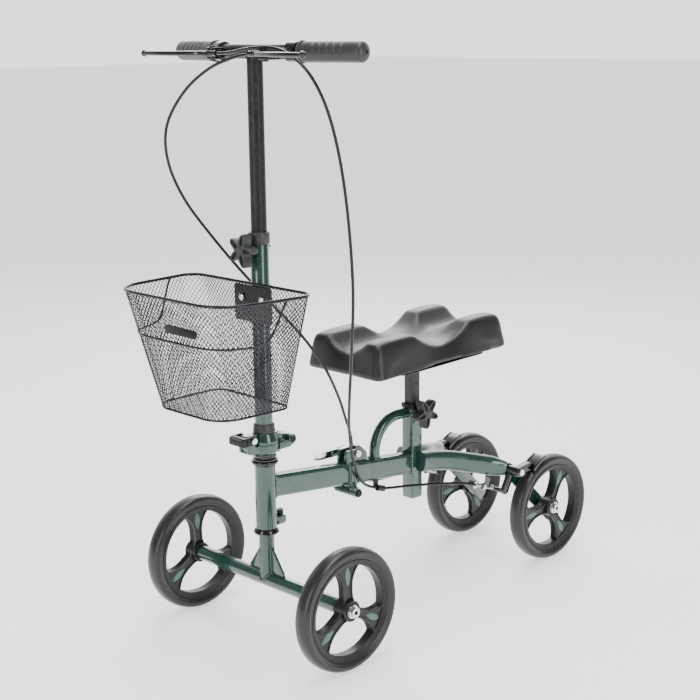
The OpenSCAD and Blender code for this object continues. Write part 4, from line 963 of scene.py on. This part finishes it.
settled(padPiece)
before = [v.co.copy() for v in padPiece.data.vertices]
cloth = padPiece.modifiers.new("swell", "CLOTH")
cloth.settings.use_pressure = True
cloth.settings.uniform_pressure_force = 4
cloth.settings.tension_stiffness = 30
cloth.settings.compression_stiffness = 30
cloth.settings.bending_stiffness = 4
cloth.settings.effector_weights.gravity = 0
cloth.point_cache.frame_start, cloth.point_cache.frame_end = 1, 20
for step in range(1, 21):
    bpy.context.scene.frame_set(step)
settled(padPiece)
bpy.context.scene.frame_set(1)
cap, furthest = 0.0018, 0.0
for v, old in zip(padPiece.data.vertices, before):
    move = v.co - old
    furthest = max(furthest, move.length)
    if move.length > cap:
        v.co = old + move.normalized() * cap
print("pad swelled, up to", round(furthest * 1000, 1), "mm before the cap")
fine = padPiece.modifiers.new("smooth", "SUBSURF")
fine.levels = fine.render_levels = 1
settled(padPiece)
for face in padPiece.data.polygons:
    face.use_smooth = True
foam = Finish("padSkin", 0.36, Specular_IOR_Level=0.5)
leather = foam.cells(620)
cloud = foam.noise(7, 4)
foam.set("Base Color", foam.ramp(cloud, (0.3, (0.006, 0.006, 0.006)), (0.8, (0.010, 0.0095, 0.0095))))
foam.set("Roughness", foam.ramp(foam.noise(24, 5), (0.35, 0.3), (0.8, 0.4)) + leather * 0.08)
foam.bump(leather * 0.7 + foam.noise(1500, 2) * 0.5, 0.0003, 0.8)
padPiece.data.materials.append(foam.material)
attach(padPiece, "seat")
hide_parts("seat_pad")
print("knee rest ready")

# ---- wheels
wheel = {"spokes": 3, "ring": 73, "frontTurn": 87, "rearTurn": 116}
tyreProfile = [(83.2, -11.8), (84.4, -12.6), (86, -13.3), (86.6, -13.0), (87.2, -13.5), (88, -13.75),
               (88.5, -13.4), (89.1, -13.9), (91, -14.3), (92.4, -14.45), (93, -14.1), (93.6, -14.35),
               (95, -13.9), (96.6, -12.7), (97.9, -10.6), (98.8, -8), (99.4, -5), (99.8, -2.4), (99.9, 0)]
tyreProfile += [(r, -h) for r, h in reversed(tyreProfile[:-1])]
rimProfile = [(72.4, -7.4), (73.2, -8.6), (75.0, -8.9), (75.6, -9.9), (77.2, -10.2), (77.8, -11.0),
              (79.6, -11.2), (80.2, -12.1), (81.2, -12.7), (82.2, -12.6), (82.8, -11.9), (82.9, -10.5)]
rimProfile += [(r, -h) for r, h in reversed(rimProfile)]
hubProfile = [(7.1, -8), (11.05, -8), (11.05, -12.7), (11.6, -13.2), (12.6, -13.2), (13.0, -12.3),
              (14.2, -12.3), (14.7, -13.1), (16.2, -13.1), (17, -12.2)]
hubProfile += [(r, -h) for r, h in reversed(hubProfile)]
races = {"outer": [(9.3, 8.1), (11, 8.1), (11, 14.7), (10.7, 15), (9.6, 15), (9.3, 14.7)],
         "shield": [(5.7, 8.6), (9.35, 8.6), (9.35, 14.5), (8.9, 14.3), (6.2, 14.3), (5.7, 14.5)],
         "inner": [(4.05, 8.1), (5.75, 8.1), (5.75, 14.7), (5.5, 15), (4.3, 15), (4.05, 14.7)]}


def spokeHalf(radius):
    # half the spoke's width, flared at the hub and at the rim
    flare = max(0, (radius - 34) / 39)
    waist = max(0, (24 - radius) / 10)
    return 7.8 + 15.5 * flare ** 2.3 + 3.5 * waist ** 2


def spokeShell():
    rings = []
    for k in range(31):
        radius = 14 + (wheel["ring"] + 0.6 - 14) * k / 30
        w = spokeHalf(radius)
        ridge = 8.9 - 0.9 * max(0, (22 - radius) / 8)
        across = [(-w + 2.6, 0), (-w + 1.6, 3.2), (-w + 0.3, 6.6), (-w, ridge - 0.9), (-w + 0.7, ridge),
                  (-w + 2.3, ridge), (-w + 3.1, ridge - 0.6), (-w + 3.6, ridge - 2.0),
                  (-w * 0.3, ridge - 2.4)]
        loop = across + [(-t, y) for t, y in reversed(across)]
        loop += [(-t, -y) for t, y in across[1:]] + [(t, -y) for t, y in reversed(across[1:])]
        ring = []
        for t, y in loop:
            out = math.sqrt(max(radius ** 2 - t * t, 1)) if k > 12 else radius
            blendIn = min(1, max(0, (k - 12) / 10)) if k > 12 else 0
            ring.append((radius + (out - radius) * blendIn, y, t))
        rings.append(ring)
    return loft(rings)


def insetShell():
    # a lens-shaped panel sunk in the spoke's face
    rings = []
    for size, height in ((1.0, 5.6), (1.0, 6.75), (0.94, 7.1), (0.0, 7.2)):
        if size == 0:
            rings.append([(57, height, 0)])
            continue
        ring = []
        for k in range(48):
            a = 2 * math.pi * k / 48
            u = 56 + 15.6 * size * math.cos(a)
            v = 5.4 * size * math.copysign(abs(math.sin(a)) ** 1.35, math.sin(a))
            ring.append((u, height, v * (0.7 + 0.3 * eased(u, 40, 56))))
        rings.append(ring)
    return loft(rings)


oneSpoke, oneInset = spokeShell(), insetShell()
for name, x, y, phase in (("front_left", stemX, layout["frontY"], wheel["frontTurn"]),
                          ("front_right", stemX, -layout["frontY"], wheel["frontTurn"]),
                          ("rear_left", rearX, layout["rearY"], wheel["rearTurn"]),
                          ("rear_right", rearX, -layout["rearY"], wheel["rearTurn"])):
    centre = shift(x, y, axleZ)
    title = "".join(w.capitalize() for w in name.split("_"))
    body = "wheel_" + name
    piece("tyre" + title, Shell().add(tube(tyreProfile, 144), centre @ lying),
          "tyre", body, "tyre_" + name, angle=50)
    made = Shell().add(tube(rimProfile, 144), centre @ lying)
    made.add(tube(hubProfile, 72), centre @ lying)
    for k in range(wheel["spokes"]):
        place = centre @ turn(-phase - 360 * k / wheel["spokes"], "Y")
        made.add(oneSpoke, place)
        made.add(oneInset, place, 1)
        made.add(oneInset, place @ mirrored, 1)
    piece("rim" + title, made, ["rim", "inset"], body, "rim_" + name, angle=32)
    made = Shell()
    for end in (Matrix(), mirrored):
        for key in races:
            made.add(tube(races[key], 48), centre @ end @ lying, 1 if key == "shield" else 0)
    piece("bearings" + title, made, ["steel", "plastic"], body, "bearings_" + name)
print("wheels ready")

# ---- lower stem, collars and basket bracket
stemShell = Shell()
stemShell.add(tube([(12.9, 336.2), (14.5, 336.2), (14.5, 669.3), (14, 670), (12.9, 670)]),
              shift(stemX, 0, 0))
stemShell.add(tube([(3.1, 12.9), (8, 12.9), (8, 21.9), (7.4, 22.5), (3.1, 22.5)], 40),
              shift(stemX, 0, layout["knobZ"]) @ turn(90, "Y"))
piece("lowerStemShell", stemShell, "green", "stem", "lower_stem")
collarShell = Shell()
collarShell.add(tube([(14.55, 351.4), (17.2, 351.4), (18, 352.4), (18, 356), (17.3, 357.2), (17.3, 362),
                      (16.6, 364.6), (15.6, 366), (14.55, 366)]), shift(stemX, 0, 0))
collarShell.add(tube([(14.55, 656.2), (16.2, 656.2), (16.8, 657), (16.8, 669), (16.8, 673.6), (15.8, 675),
                      (12.95, 675), (12.95, 670.2), (14.55, 670.2)]), shift(stemX, 0, 0))
piece("stemCollars", collarShell, "knob", "stem", "stem_collars")

bracketShell = Shell()
plateLoop = roundedOutline([(-44, 533, 7), (44, 533, 7), (44, 591.6, 5), (-44, 591.6, 5)], 6)
bracketShell.add(plate(plateLoop, 0, 2.5, 0.7), placedYz(stemX + 14.5))
strap = [(14.55, 532.2), (16.4, 532.2), (17, 533), (17, 591), (16.4, 591.8), (14.55, 591.8)]
bracketShell.add(tube(strap, 56), shift(stemX, 0, 0))
bracketShell.side([(stemX + 4, 533, 2), (stemX + 15, 533, 0), (stemX + 15, 591, 0),
                   (stemX + 4, 591, 2)], 2.4, 0.6, 17, -14.6, steps=4)
piece("bracketShell", bracketShell, "blackPaint", "stem", "basket_bracket")

# ---- the wire basket
basket = {"back": 17, "length": 173, "width": 296, "front": 260, "height": 185,
          "columns": 104, "rows": 44}


def basketLoop(share):
    # the wall's outline, from the rim at 0 to the floor at 1
    def between(a, b):
        return a + (b - a) * share
    long = between(basket["length"], 140)
    back, front = between(basket["width"] / 2, 88.8), between(basket["front"] / 2, 83.2)
    loop = roundedOutline([(0, -back, between(26, 20)), (long, -front, between(58, 42)),
                           (long, front, between(58, 42)), (0, back, between(26, 20))], 10)
    return [Vector((stemX + basket["back"] + x, y, layout["rimZ"] - 2 - share * (basket["height"] - 3)))
            for x, y in loop]


rimLoop, floorLoop = basketLoop(0), basketLoop(1)
lengths = [0]
for a, b in zip(rimLoop, rimLoop[1:] + rimLoop[:1]):
    lengths.append(lengths[-1] + (b - a).length)


def wallPoint(column, row):
    spot = (column / basket["columns"]) % 1 * lengths[-1]
    i = max(k for k in range(len(rimLoop)) if lengths[k] <= spot + 1e-9)
    t = (spot - lengths[i]) / (lengths[i + 1] - lengths[i])
    m = (i + 1) % len(rimLoop)
    high, low = rimLoop[i].lerp(rimLoop[m], t), floorLoop[i].lerp(floorLoop[m], t)
    return high.lerp(low, row / basket["rows"])


basketShell = Shell()
strand = [(-0.48, -0.4), (0.48, -0.4), (0.48, 0.4), (-0.48, 0.4)]
for start in range(basket["columns"]):
    for way in (0.5, -0.5):
        path = [wallPoint(start + way * row, row) for row in range(basket["rows"] + 1)]
        basketShell.add(sweep(path, strand))
floorMiddle = (min(q.x for q in floorLoop) + max(q.x for q in floorLoop)) / 2
floorZ = floorLoop[0].z


def clipped(origin, way):
    # the stretch of a line that lies over the basket's floor
    enter, leave = -1e9, 1e9
    middle = Vector((floorMiddle, 0))
    for a, b in zip(floorLoop, floorLoop[1:] + floorLoop[:1]):
        edge = Vector((b.x - a.x, b.y - a.y))
        if edge.length < 1e-6:
            continue
        normal = Vector((edge.y, -edge.x))
        if normal.dot(middle - Vector((a.x, a.y))) > 0:
            normal = -normal
        speed, gap = normal.dot(way), normal.dot(Vector((a.x, a.y)) - origin)
        if abs(speed) < 1e-9:
            if gap < 0:
                return None
        elif speed > 0:
            leave = min(leave, gap / speed)
        else:
            enter = max(enter, gap / speed)
    return (enter, leave) if leave - enter > 3 else None


for k in range(-32, 33):
    for slope in (0.62, -0.62):
        origin, way = Vector((floorMiddle + 8.4 * k, 0)), Vector((slope, 1)).normalized()
        span = clipped(origin, way)
        if span:
            basketShell.add(sweep([Vector((*(origin + way * t), floorZ)) for t in span], strand))
piece("basketMesh", basketShell, "wire", "stem", "basket", angle=60)

rimWire = Shell()


def finer(loop):
    # thirds of each stretch, without doubled points
    made = []
    for a, b in zip(loop, loop[1:] + loop[:1]):
        made += [a.lerp(b, k / 3) for k in range(3)]
    return [q for i, q in enumerate(made) if (q - made[i - 1]).length > 0.05]


for loop, z, section in ((rimLoop, layout["rimZ"], ringSection(2.5, 14)),
                         (floorLoop, floorZ, ringSection(1.7, 10))):
    rimWire.add(sweep([Vector((q.x, q.y, z)) for q in finer(loop)], section, closed=True, up=upright))
hoop = [(70, 141.0, 593), (76, 139.6, 583), (86, 136.5, 560), (97, 132, 538), (110, 128, 530),
        (129, 121, 528), (158, 108, 528), (173, 88, 528), (180, 62, 528), (181, 30, 528)]
hoop = [Vector((stemX + x, y, z)) for x, y, z in hoop]
hoop += [Vector((q.x, -q.y, q.z)) for q in reversed(hoop)]
rimWire.add(sweep(curvePoints(hoop, 5), ringSection(1.8, 10)))
piece("rimWire", rimWire, "wire", "stem", "basket_rim")
badge = roundedOutline([(-40, -6.5, 6.4), (40, -6.5, 6.4), (40, 6.5, 6.4), (-40, 6.5, 6.4)], 7)
badgeShell = Shell().add(plate(badge, -1.0, 1.0, 0.5),
                         shift(stemX + 183.6, 31, 548) @ turn(-2.5, "Z") @ turn(79.8, "Y") @ turn(90, "Z"))
piece("basketPlate", badgeShell, "plastic", "stem")
print("basket ready")

# ---- handlebar, grips and brake levers
bars = {"radius": 11.1, "half": 214, "bend": 55, "sweep": 10, "grip": 15.5, "gripLength": 118,
        "mount": 84}
barEnd = (bars["half"] - bars["bend"]) / math.cos(math.radians(bars["sweep"])) + bars["bend"]
swept = shift(stemX, bars["bend"], barZ) @ turn(bars["sweep"], "Z") @ shift(0, -bars["bend"], 0)
barShell = Shell()
halfBar = [Vector((stemX, 0, barZ)), Vector((stemX, 30, barZ)), Vector((stemX, 42, barZ)),
           Vector((stemX - 0.3, 50, barZ)), Vector((stemX - 1.3, 59.8, barZ)),
           swept @ Vector((0, 70, 0)), swept @ Vector((0, barEnd - 4, 0))]
wholeBar = [Vector((q.x, -q.y, q.z)) for q in reversed(halfBar[1:])] + halfBar
barShell.add(sweep(wholeBar, ringSection(bars["radius"], 48), up=upright))
barShell.add(tube([(10.5, 520.4), (12.1, 520), (12.5, 520.4), (12.5, 949), (10.5, 949)]),
             shift(stemX, 0, 0))
joinPath = []
for k in range(56):
    a = 2 * math.pi * k / 56
    x, y = 12.8 * math.cos(a), 12.8 * math.sin(a)
    joinPath.append((stemX + x, y, barZ - math.sqrt(max(bars["radius"] ** 2 - x * x, 0)) - 0.4))
barShell.add(weldBead(joinPath, 1.9))
for z in range(690, 900, 25):
    barShell.add(lathe([(0, -0.3), (1.9, -0.3), (1.9, 0.12), (0, 0.12)], 20),
                 shift(stemX + 12.5, 0, z) @ turn(90, "Y"), 1)
piece("handlebarShell", barShell, ["satin", "oxide"], "handlebar", "handlebar")

gripShell = Shell()
gripRings = []
for k in range(97):
    h = bars["gripLength"] * k / 96
    ring = []
    for i in range(64):
        a = 2 * math.pi * i / 64
        r = bars["grip"]
        if h < 9:  # the domed end
            r = bars["grip"] * math.sqrt(max(0, 1 - ((9 - h) / 9) ** 2 * 0.9))
        r -= 1.0 * eased(h, 106, 117)
        groove = 0
        for n in range(5):
            centre = 36 + 13 * n + 5.5 * math.sin(a - 0.6)
            groove = max(groove, max(0, 1 - abs(h - centre) / 2.1))
        r -= 1.25 * groove * max(0, math.cos((a - 1.2) * 0.5)) ** 2
        ring.append((r * math.cos(a), r * math.sin(a), h))
    gripRings.append(ring)
for radius, h in ((2.6, -0.2), (2.2, 3.2)):  # the hole in its end
    gripRings.insert(0, [(x, y, h) for x, y in ringSection(radius, 64)])
gripPlace = swept @ shift(0, barEnd, 0) @ turn(90, "X")
gripShell.both(loft(gripRings), gripPlace)
flange = [(11.2, 114), (16.2, 114), (17, 114.8), (17, 117.2), (16.2, 118), (11.2, 118)]
gripShell.both(tube(flange, 56), gripPlace)
piece("gripShells", gripShell, "grip", "handlebar", "grips", angle=60)

lever = {"x": stemX + 32, "y": 62, "z": 948}
mountShell = Shell()
band = tube([(11.15, -9), (14.4, -9), (15.1, -8.2), (15.1, 8.2), (14.4, 9), (11.15, 9)], 56)
mountShell.both(band, swept @ shift(0, bars["mount"], 0) @ lying)
for z in (4.6, -9):
    jaw = roundedOutline([(lever["x"] - 14, 52, 3), (lever["x"] + 8, 52, 6), (lever["x"] + 8, 66, 5),
                          (lever["x"] - 4, 82, 4), (lever["x"] - 14, 82, 3)], 5)
    mountShell.both(plate(jaw, z, z + 4.4, 0.9), shift(0, 0, lever["z"]))
arm = roundedOutline([(stemX + 4, 68, 1), (lever["x"] - 8, 56, 2), (lever["x"] - 8, 84, 2),
                      (stemX + 4, 90, 1)], 4)
mountShell.both(plate(arm, -8, 8, 1.8), shift(0, 0, lever["z"]))
barrel = [(3.3, 38), (4.2, 38), (4.2, 46), (4.9, 46.6), (4.9, 53.4), (4.2, 54), (3.3, 54)]
mountShell.both(tube(barrel, 32), shift(stemX + 44, 0, lever["z"]) @ lying)
nose = roundedOutline([(stemX + 36, 50, 3), (stemX + 49, 50, 4), (stemX + 49, 57, 3),
                       (stemX + 36, 60, 2)], 4)
mountShell.both(plate(nose, -4.8, 4.8, 1.2), shift(0, 0, lever["z"]))
piece("leverMounts", mountShell, "blackPaint", "handlebar", "lever_mounts")

bladePath = curvePoints([(3, -2, 0), (13, 0, 0), (21, 9, 0), (26.5, 24, 0), (31.5, 42, 0), (36.5, 62, 0),
                         (39.0, 84, 0), (38.6, 104, 0), (37.4, 122, 0)], 6)


def bladeGrow(t):
    return (1.0 + 0.25 * eased(t, 0.0, 0.25) - 0.35 * eased(t, 0.35, 0.95), 1.0 - 0.12 * eased(t, 0.3, 0.9))


for name, flip in (("Left", Matrix()), ("Right", mirrored)):
    made = Shell()
    made.add(sweep(bladePath, ovalSection(11.0, 8.0, 3.2, 28), up=upright, grow=bladeGrow))
    made.add(tube([(2.6, -4), (6.6, -4), (7.2, -3.4), (7.2, 3.4), (6.6, 4), (2.6, 4)], 40))
    ball = [(5.4 * math.sin(math.pi * k / 16), -5.4 * math.cos(math.pi * k / 16)) for k in range(17)]
    made.add(lathe(ball, 32), shift(38, 122, 0))
    side = "brake_lever_" + name.lower()
    piece("lever" + name, made.moved(flip @ shift(lever["x"], lever["y"], lever["z"])),
          "blackPaint", side, side, angle=50)
print("handlebar ready")

# ---- brake cables, each one run cut where it crosses a joint
cableLeft = [
    (44, -40, 948), (46, 0, 950), (48, 45, 956), (46, 90, 957), (41, 128, 946), (33, 160, 918),
    (22, 182, 870), (8, 192, 800), (-4, 196, 710), (-20, 188, 600), (-52, 150, 490),
    (-90, 105, 400), (-130, 63, 335), (-170, 31, 270), (-203, 18, 222), (-245, 20, 202),
    (-300, 27, 194), (-360, 44, 188), (-415, 62, 180), (-452, 71, 169)]
cableRight = [
    (44, 40, 948), (47, 5, 942), (52, -45, 926), (58, -95, 895), (60, -137, 852), (57, -156, 812),
    (46, -160, 765), (28, -148, 715), (2, -130, 668), (-32, -98, 608), (-52, -40, 552),
    (-76, 8, 500), (-112, 22, 445), (-155, 10, 385), (-186, -4, 335), (-208, -14, 296),
    (-216, -19, 262), (-226, -22, 222), (-262, -26, 202), (-320, -36, 192), (-390, -54, 184),
    (-452, -71, 169)]


def cableRun(side, points, cuts):
    # four lengths, cut from one sweep at the given points
    path = curvePoints([(stemX + x, y, z) for x, y, z in points], 6)
    rings = sweepRings(path, ringSection(2.5, 14))
    marks = [0] + [c * 6 for c in cuts] + [len(path) - 1]
    for n in range(4):
        a, b = marks[n], marks[n + 1]
        made = piece("cable" + side + str(n + 1), Shell().add(loft(rings[a:b + 1])), "cable",
                     None, "brake_cable_" + side.lower(), angle=60)
        tuple(path[a] * mm)
        tuple(path[b] * mm)
        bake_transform(made)


cableRun("Left", cableLeft, (8, 11, 13))
cableRun("Right", cableRight, (6, 12, 14))
ends = Shell()
for points in (cableLeft, cableRight):
    last, tip = (Vector((stemX + x, y, z)) for x, y, z in points[-2:])
    away = (tip - last).normalized()
    ends.add(sweep([tip - away * 12, tip - away * 11, tip - away * 1, tip], ringSection(3.1, 20),
                   grow=lambda t: 0.86 if t in (0, 1) else 1))
piece("cableFerrules", ends, "steel", "rear_frame")
print("cables ready")

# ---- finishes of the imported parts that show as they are
shown = {"headset_bearings": "steel", "lug_screw": "oxide", "front_axle_bolts": "chrome",
         "stem_nut": "chrome", "basket_bolts": "chrome", "lever_pivots": "oxide",
         "cable_guides": "plastic", "cable_adjusters": "chrome", "rear_axle_bolts": "chrome",
         "brake_pivots": "chrome"}
for name, key in shown.items():
    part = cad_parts[name]
    part.data.materials.clear()
    part.data.materials.append(finishes[key])
    edge = part.modifiers.new("edges", "BEVEL")
    edge.width, edge.segments, edge.limit_method = 0.0004, 2, "ANGLE"
    edge.angle_limit = math.radians(35)

for name, x, y, body in (("front", stemX, layout["frontY"], "steering"),
                         ("rear", rearX, layout["rearY"], "rear_frame")):
    made = Shell().both(lathe([(0, 0), (4.6, 0), (4.6, 0.4), (0, 0.4)], 6),
                        shift(x, y + 18.75, axleZ) @ lying)
    piece(name + "Sockets", made, "oxide", body)

# ---- floor, light and camera
studio = {"floor": 30.0, "glow": 0.95, "lens": 74.45, "room": 0.3, "backdrop": 2.0}
ground = bpy.data.meshes.new("floor")
corners = [(x * studio["floor"], y * studio["floor"], -0.0004)
           for x, y in ((-1, -1), (1, -1), (1, 1), (-1, 1))]
ground.from_pydata(corners, [], [(0, 1, 2, 3)])
floorThing = bpy.data.objects.new("floor", ground)
bpy.context.scene.collection.objects.link(floorThing)
paper = Finish("palePaper", 0.75)
mottle = paper.ramp(paper.noise(3, 3), (0.3, (0.84, 0.845, 0.85)), (0.8, (0.88, 0.88, 0.885)))
paper.set("Base Color", mottle)
paper.shader.inputs["Emission Color"].default_value = (1, 1, 1, 1)
paper.shader.inputs["Emission Strength"].default_value = studio["glow"]
ground.materials.append(paper.material)

world = bpy.data.worlds.new("studio")  # a dim room with a white wall behind the scooter
world.use_nodes = True
sky = Wire(world.node_tree)
wall = sky.make("VectorMath", {"operation": "DOT_PRODUCT"},
                {0: sky.make("TexCoord", out=0), 1: (-0.68, -0.70, 0.0)}, out=1)
wall = sky.make("MapRange", {"interpolation_type": "SMOOTHSTEP"}, {"Value": wall, 1: 0.25, 2: 0.8})
glow = wall.mix(studio["room"], studio["backdrop"])
background = world.node_tree.nodes["Background"]
background.inputs["Color"].default_value = (0.98, 0.99, 1.0, 1)
world.node_tree.links.new(glow.socket, background.inputs["Strength"])
bpy.context.scene.world = world


def softLight(name, place, target, size, power):
    lamp = bpy.data.lights.new(name, "AREA")
    lamp.shape, lamp.size, lamp.size_y, lamp.energy = "RECTANGLE", size[0], size[1], power
    made = bpy.data.objects.new(name, lamp)
    made.location = place
    made.rotation_euler = (Vector(target) - Vector(place)).to_track_quat("-Z", "Y").to_euler()
    bpy.context.scene.collection.objects.link(made)


softLight("overhead", (0.1, 0.1, 2.7), (0, 0, 0.4), (0.9, 2.4), 62)
softLight("windowLeft", (0.3, 2.7, 1.3), (0, 0, 0.5), (0.9, 2.2), 36)
softLight("windowRight", (2.9, 0.1, 1.2), (0, 0, 0.5), (0.8, 2.2), 34)
softLight("back", (-1.8, -1.8, 1.9), (0, 0, 0.5), (1.6, 1.2), 40)

view = {"azimuth": 135.828, "elevation": 12.72, "roll": -0.6746, "place": (1.72142, 1.70717, 0.99037)}
azimuth, elevation, roll = (math.radians(view[k]) for k in ("azimuth", "elevation", "roll"))
back = Vector((math.sin(azimuth) * math.cos(elevation), -math.cos(azimuth) * math.cos(elevation),
               math.sin(elevation)))
right = Vector((math.cos(azimuth), math.sin(azimuth), 0))
above = back.cross(right)
across = right * math.cos(roll) + above * math.sin(roll)
above = above * math.cos(roll) - right * math.sin(roll)
camera = bpy.data.cameras.new("camera")
camera.lens, camera.sensor_width = studio["lens"], 36
cameraThing = bpy.data.objects.new("camera", camera)
rows = [(across[k], above[k], back[k], view["place"][k]) for k in range(3)]
cameraThing.matrix_world = Matrix((*rows, (0, 0, 0, 1)))
bpy.context.scene.collection.objects.link(cameraThing)
bpy.context.scene.camera = cameraThing

print("scene ready")
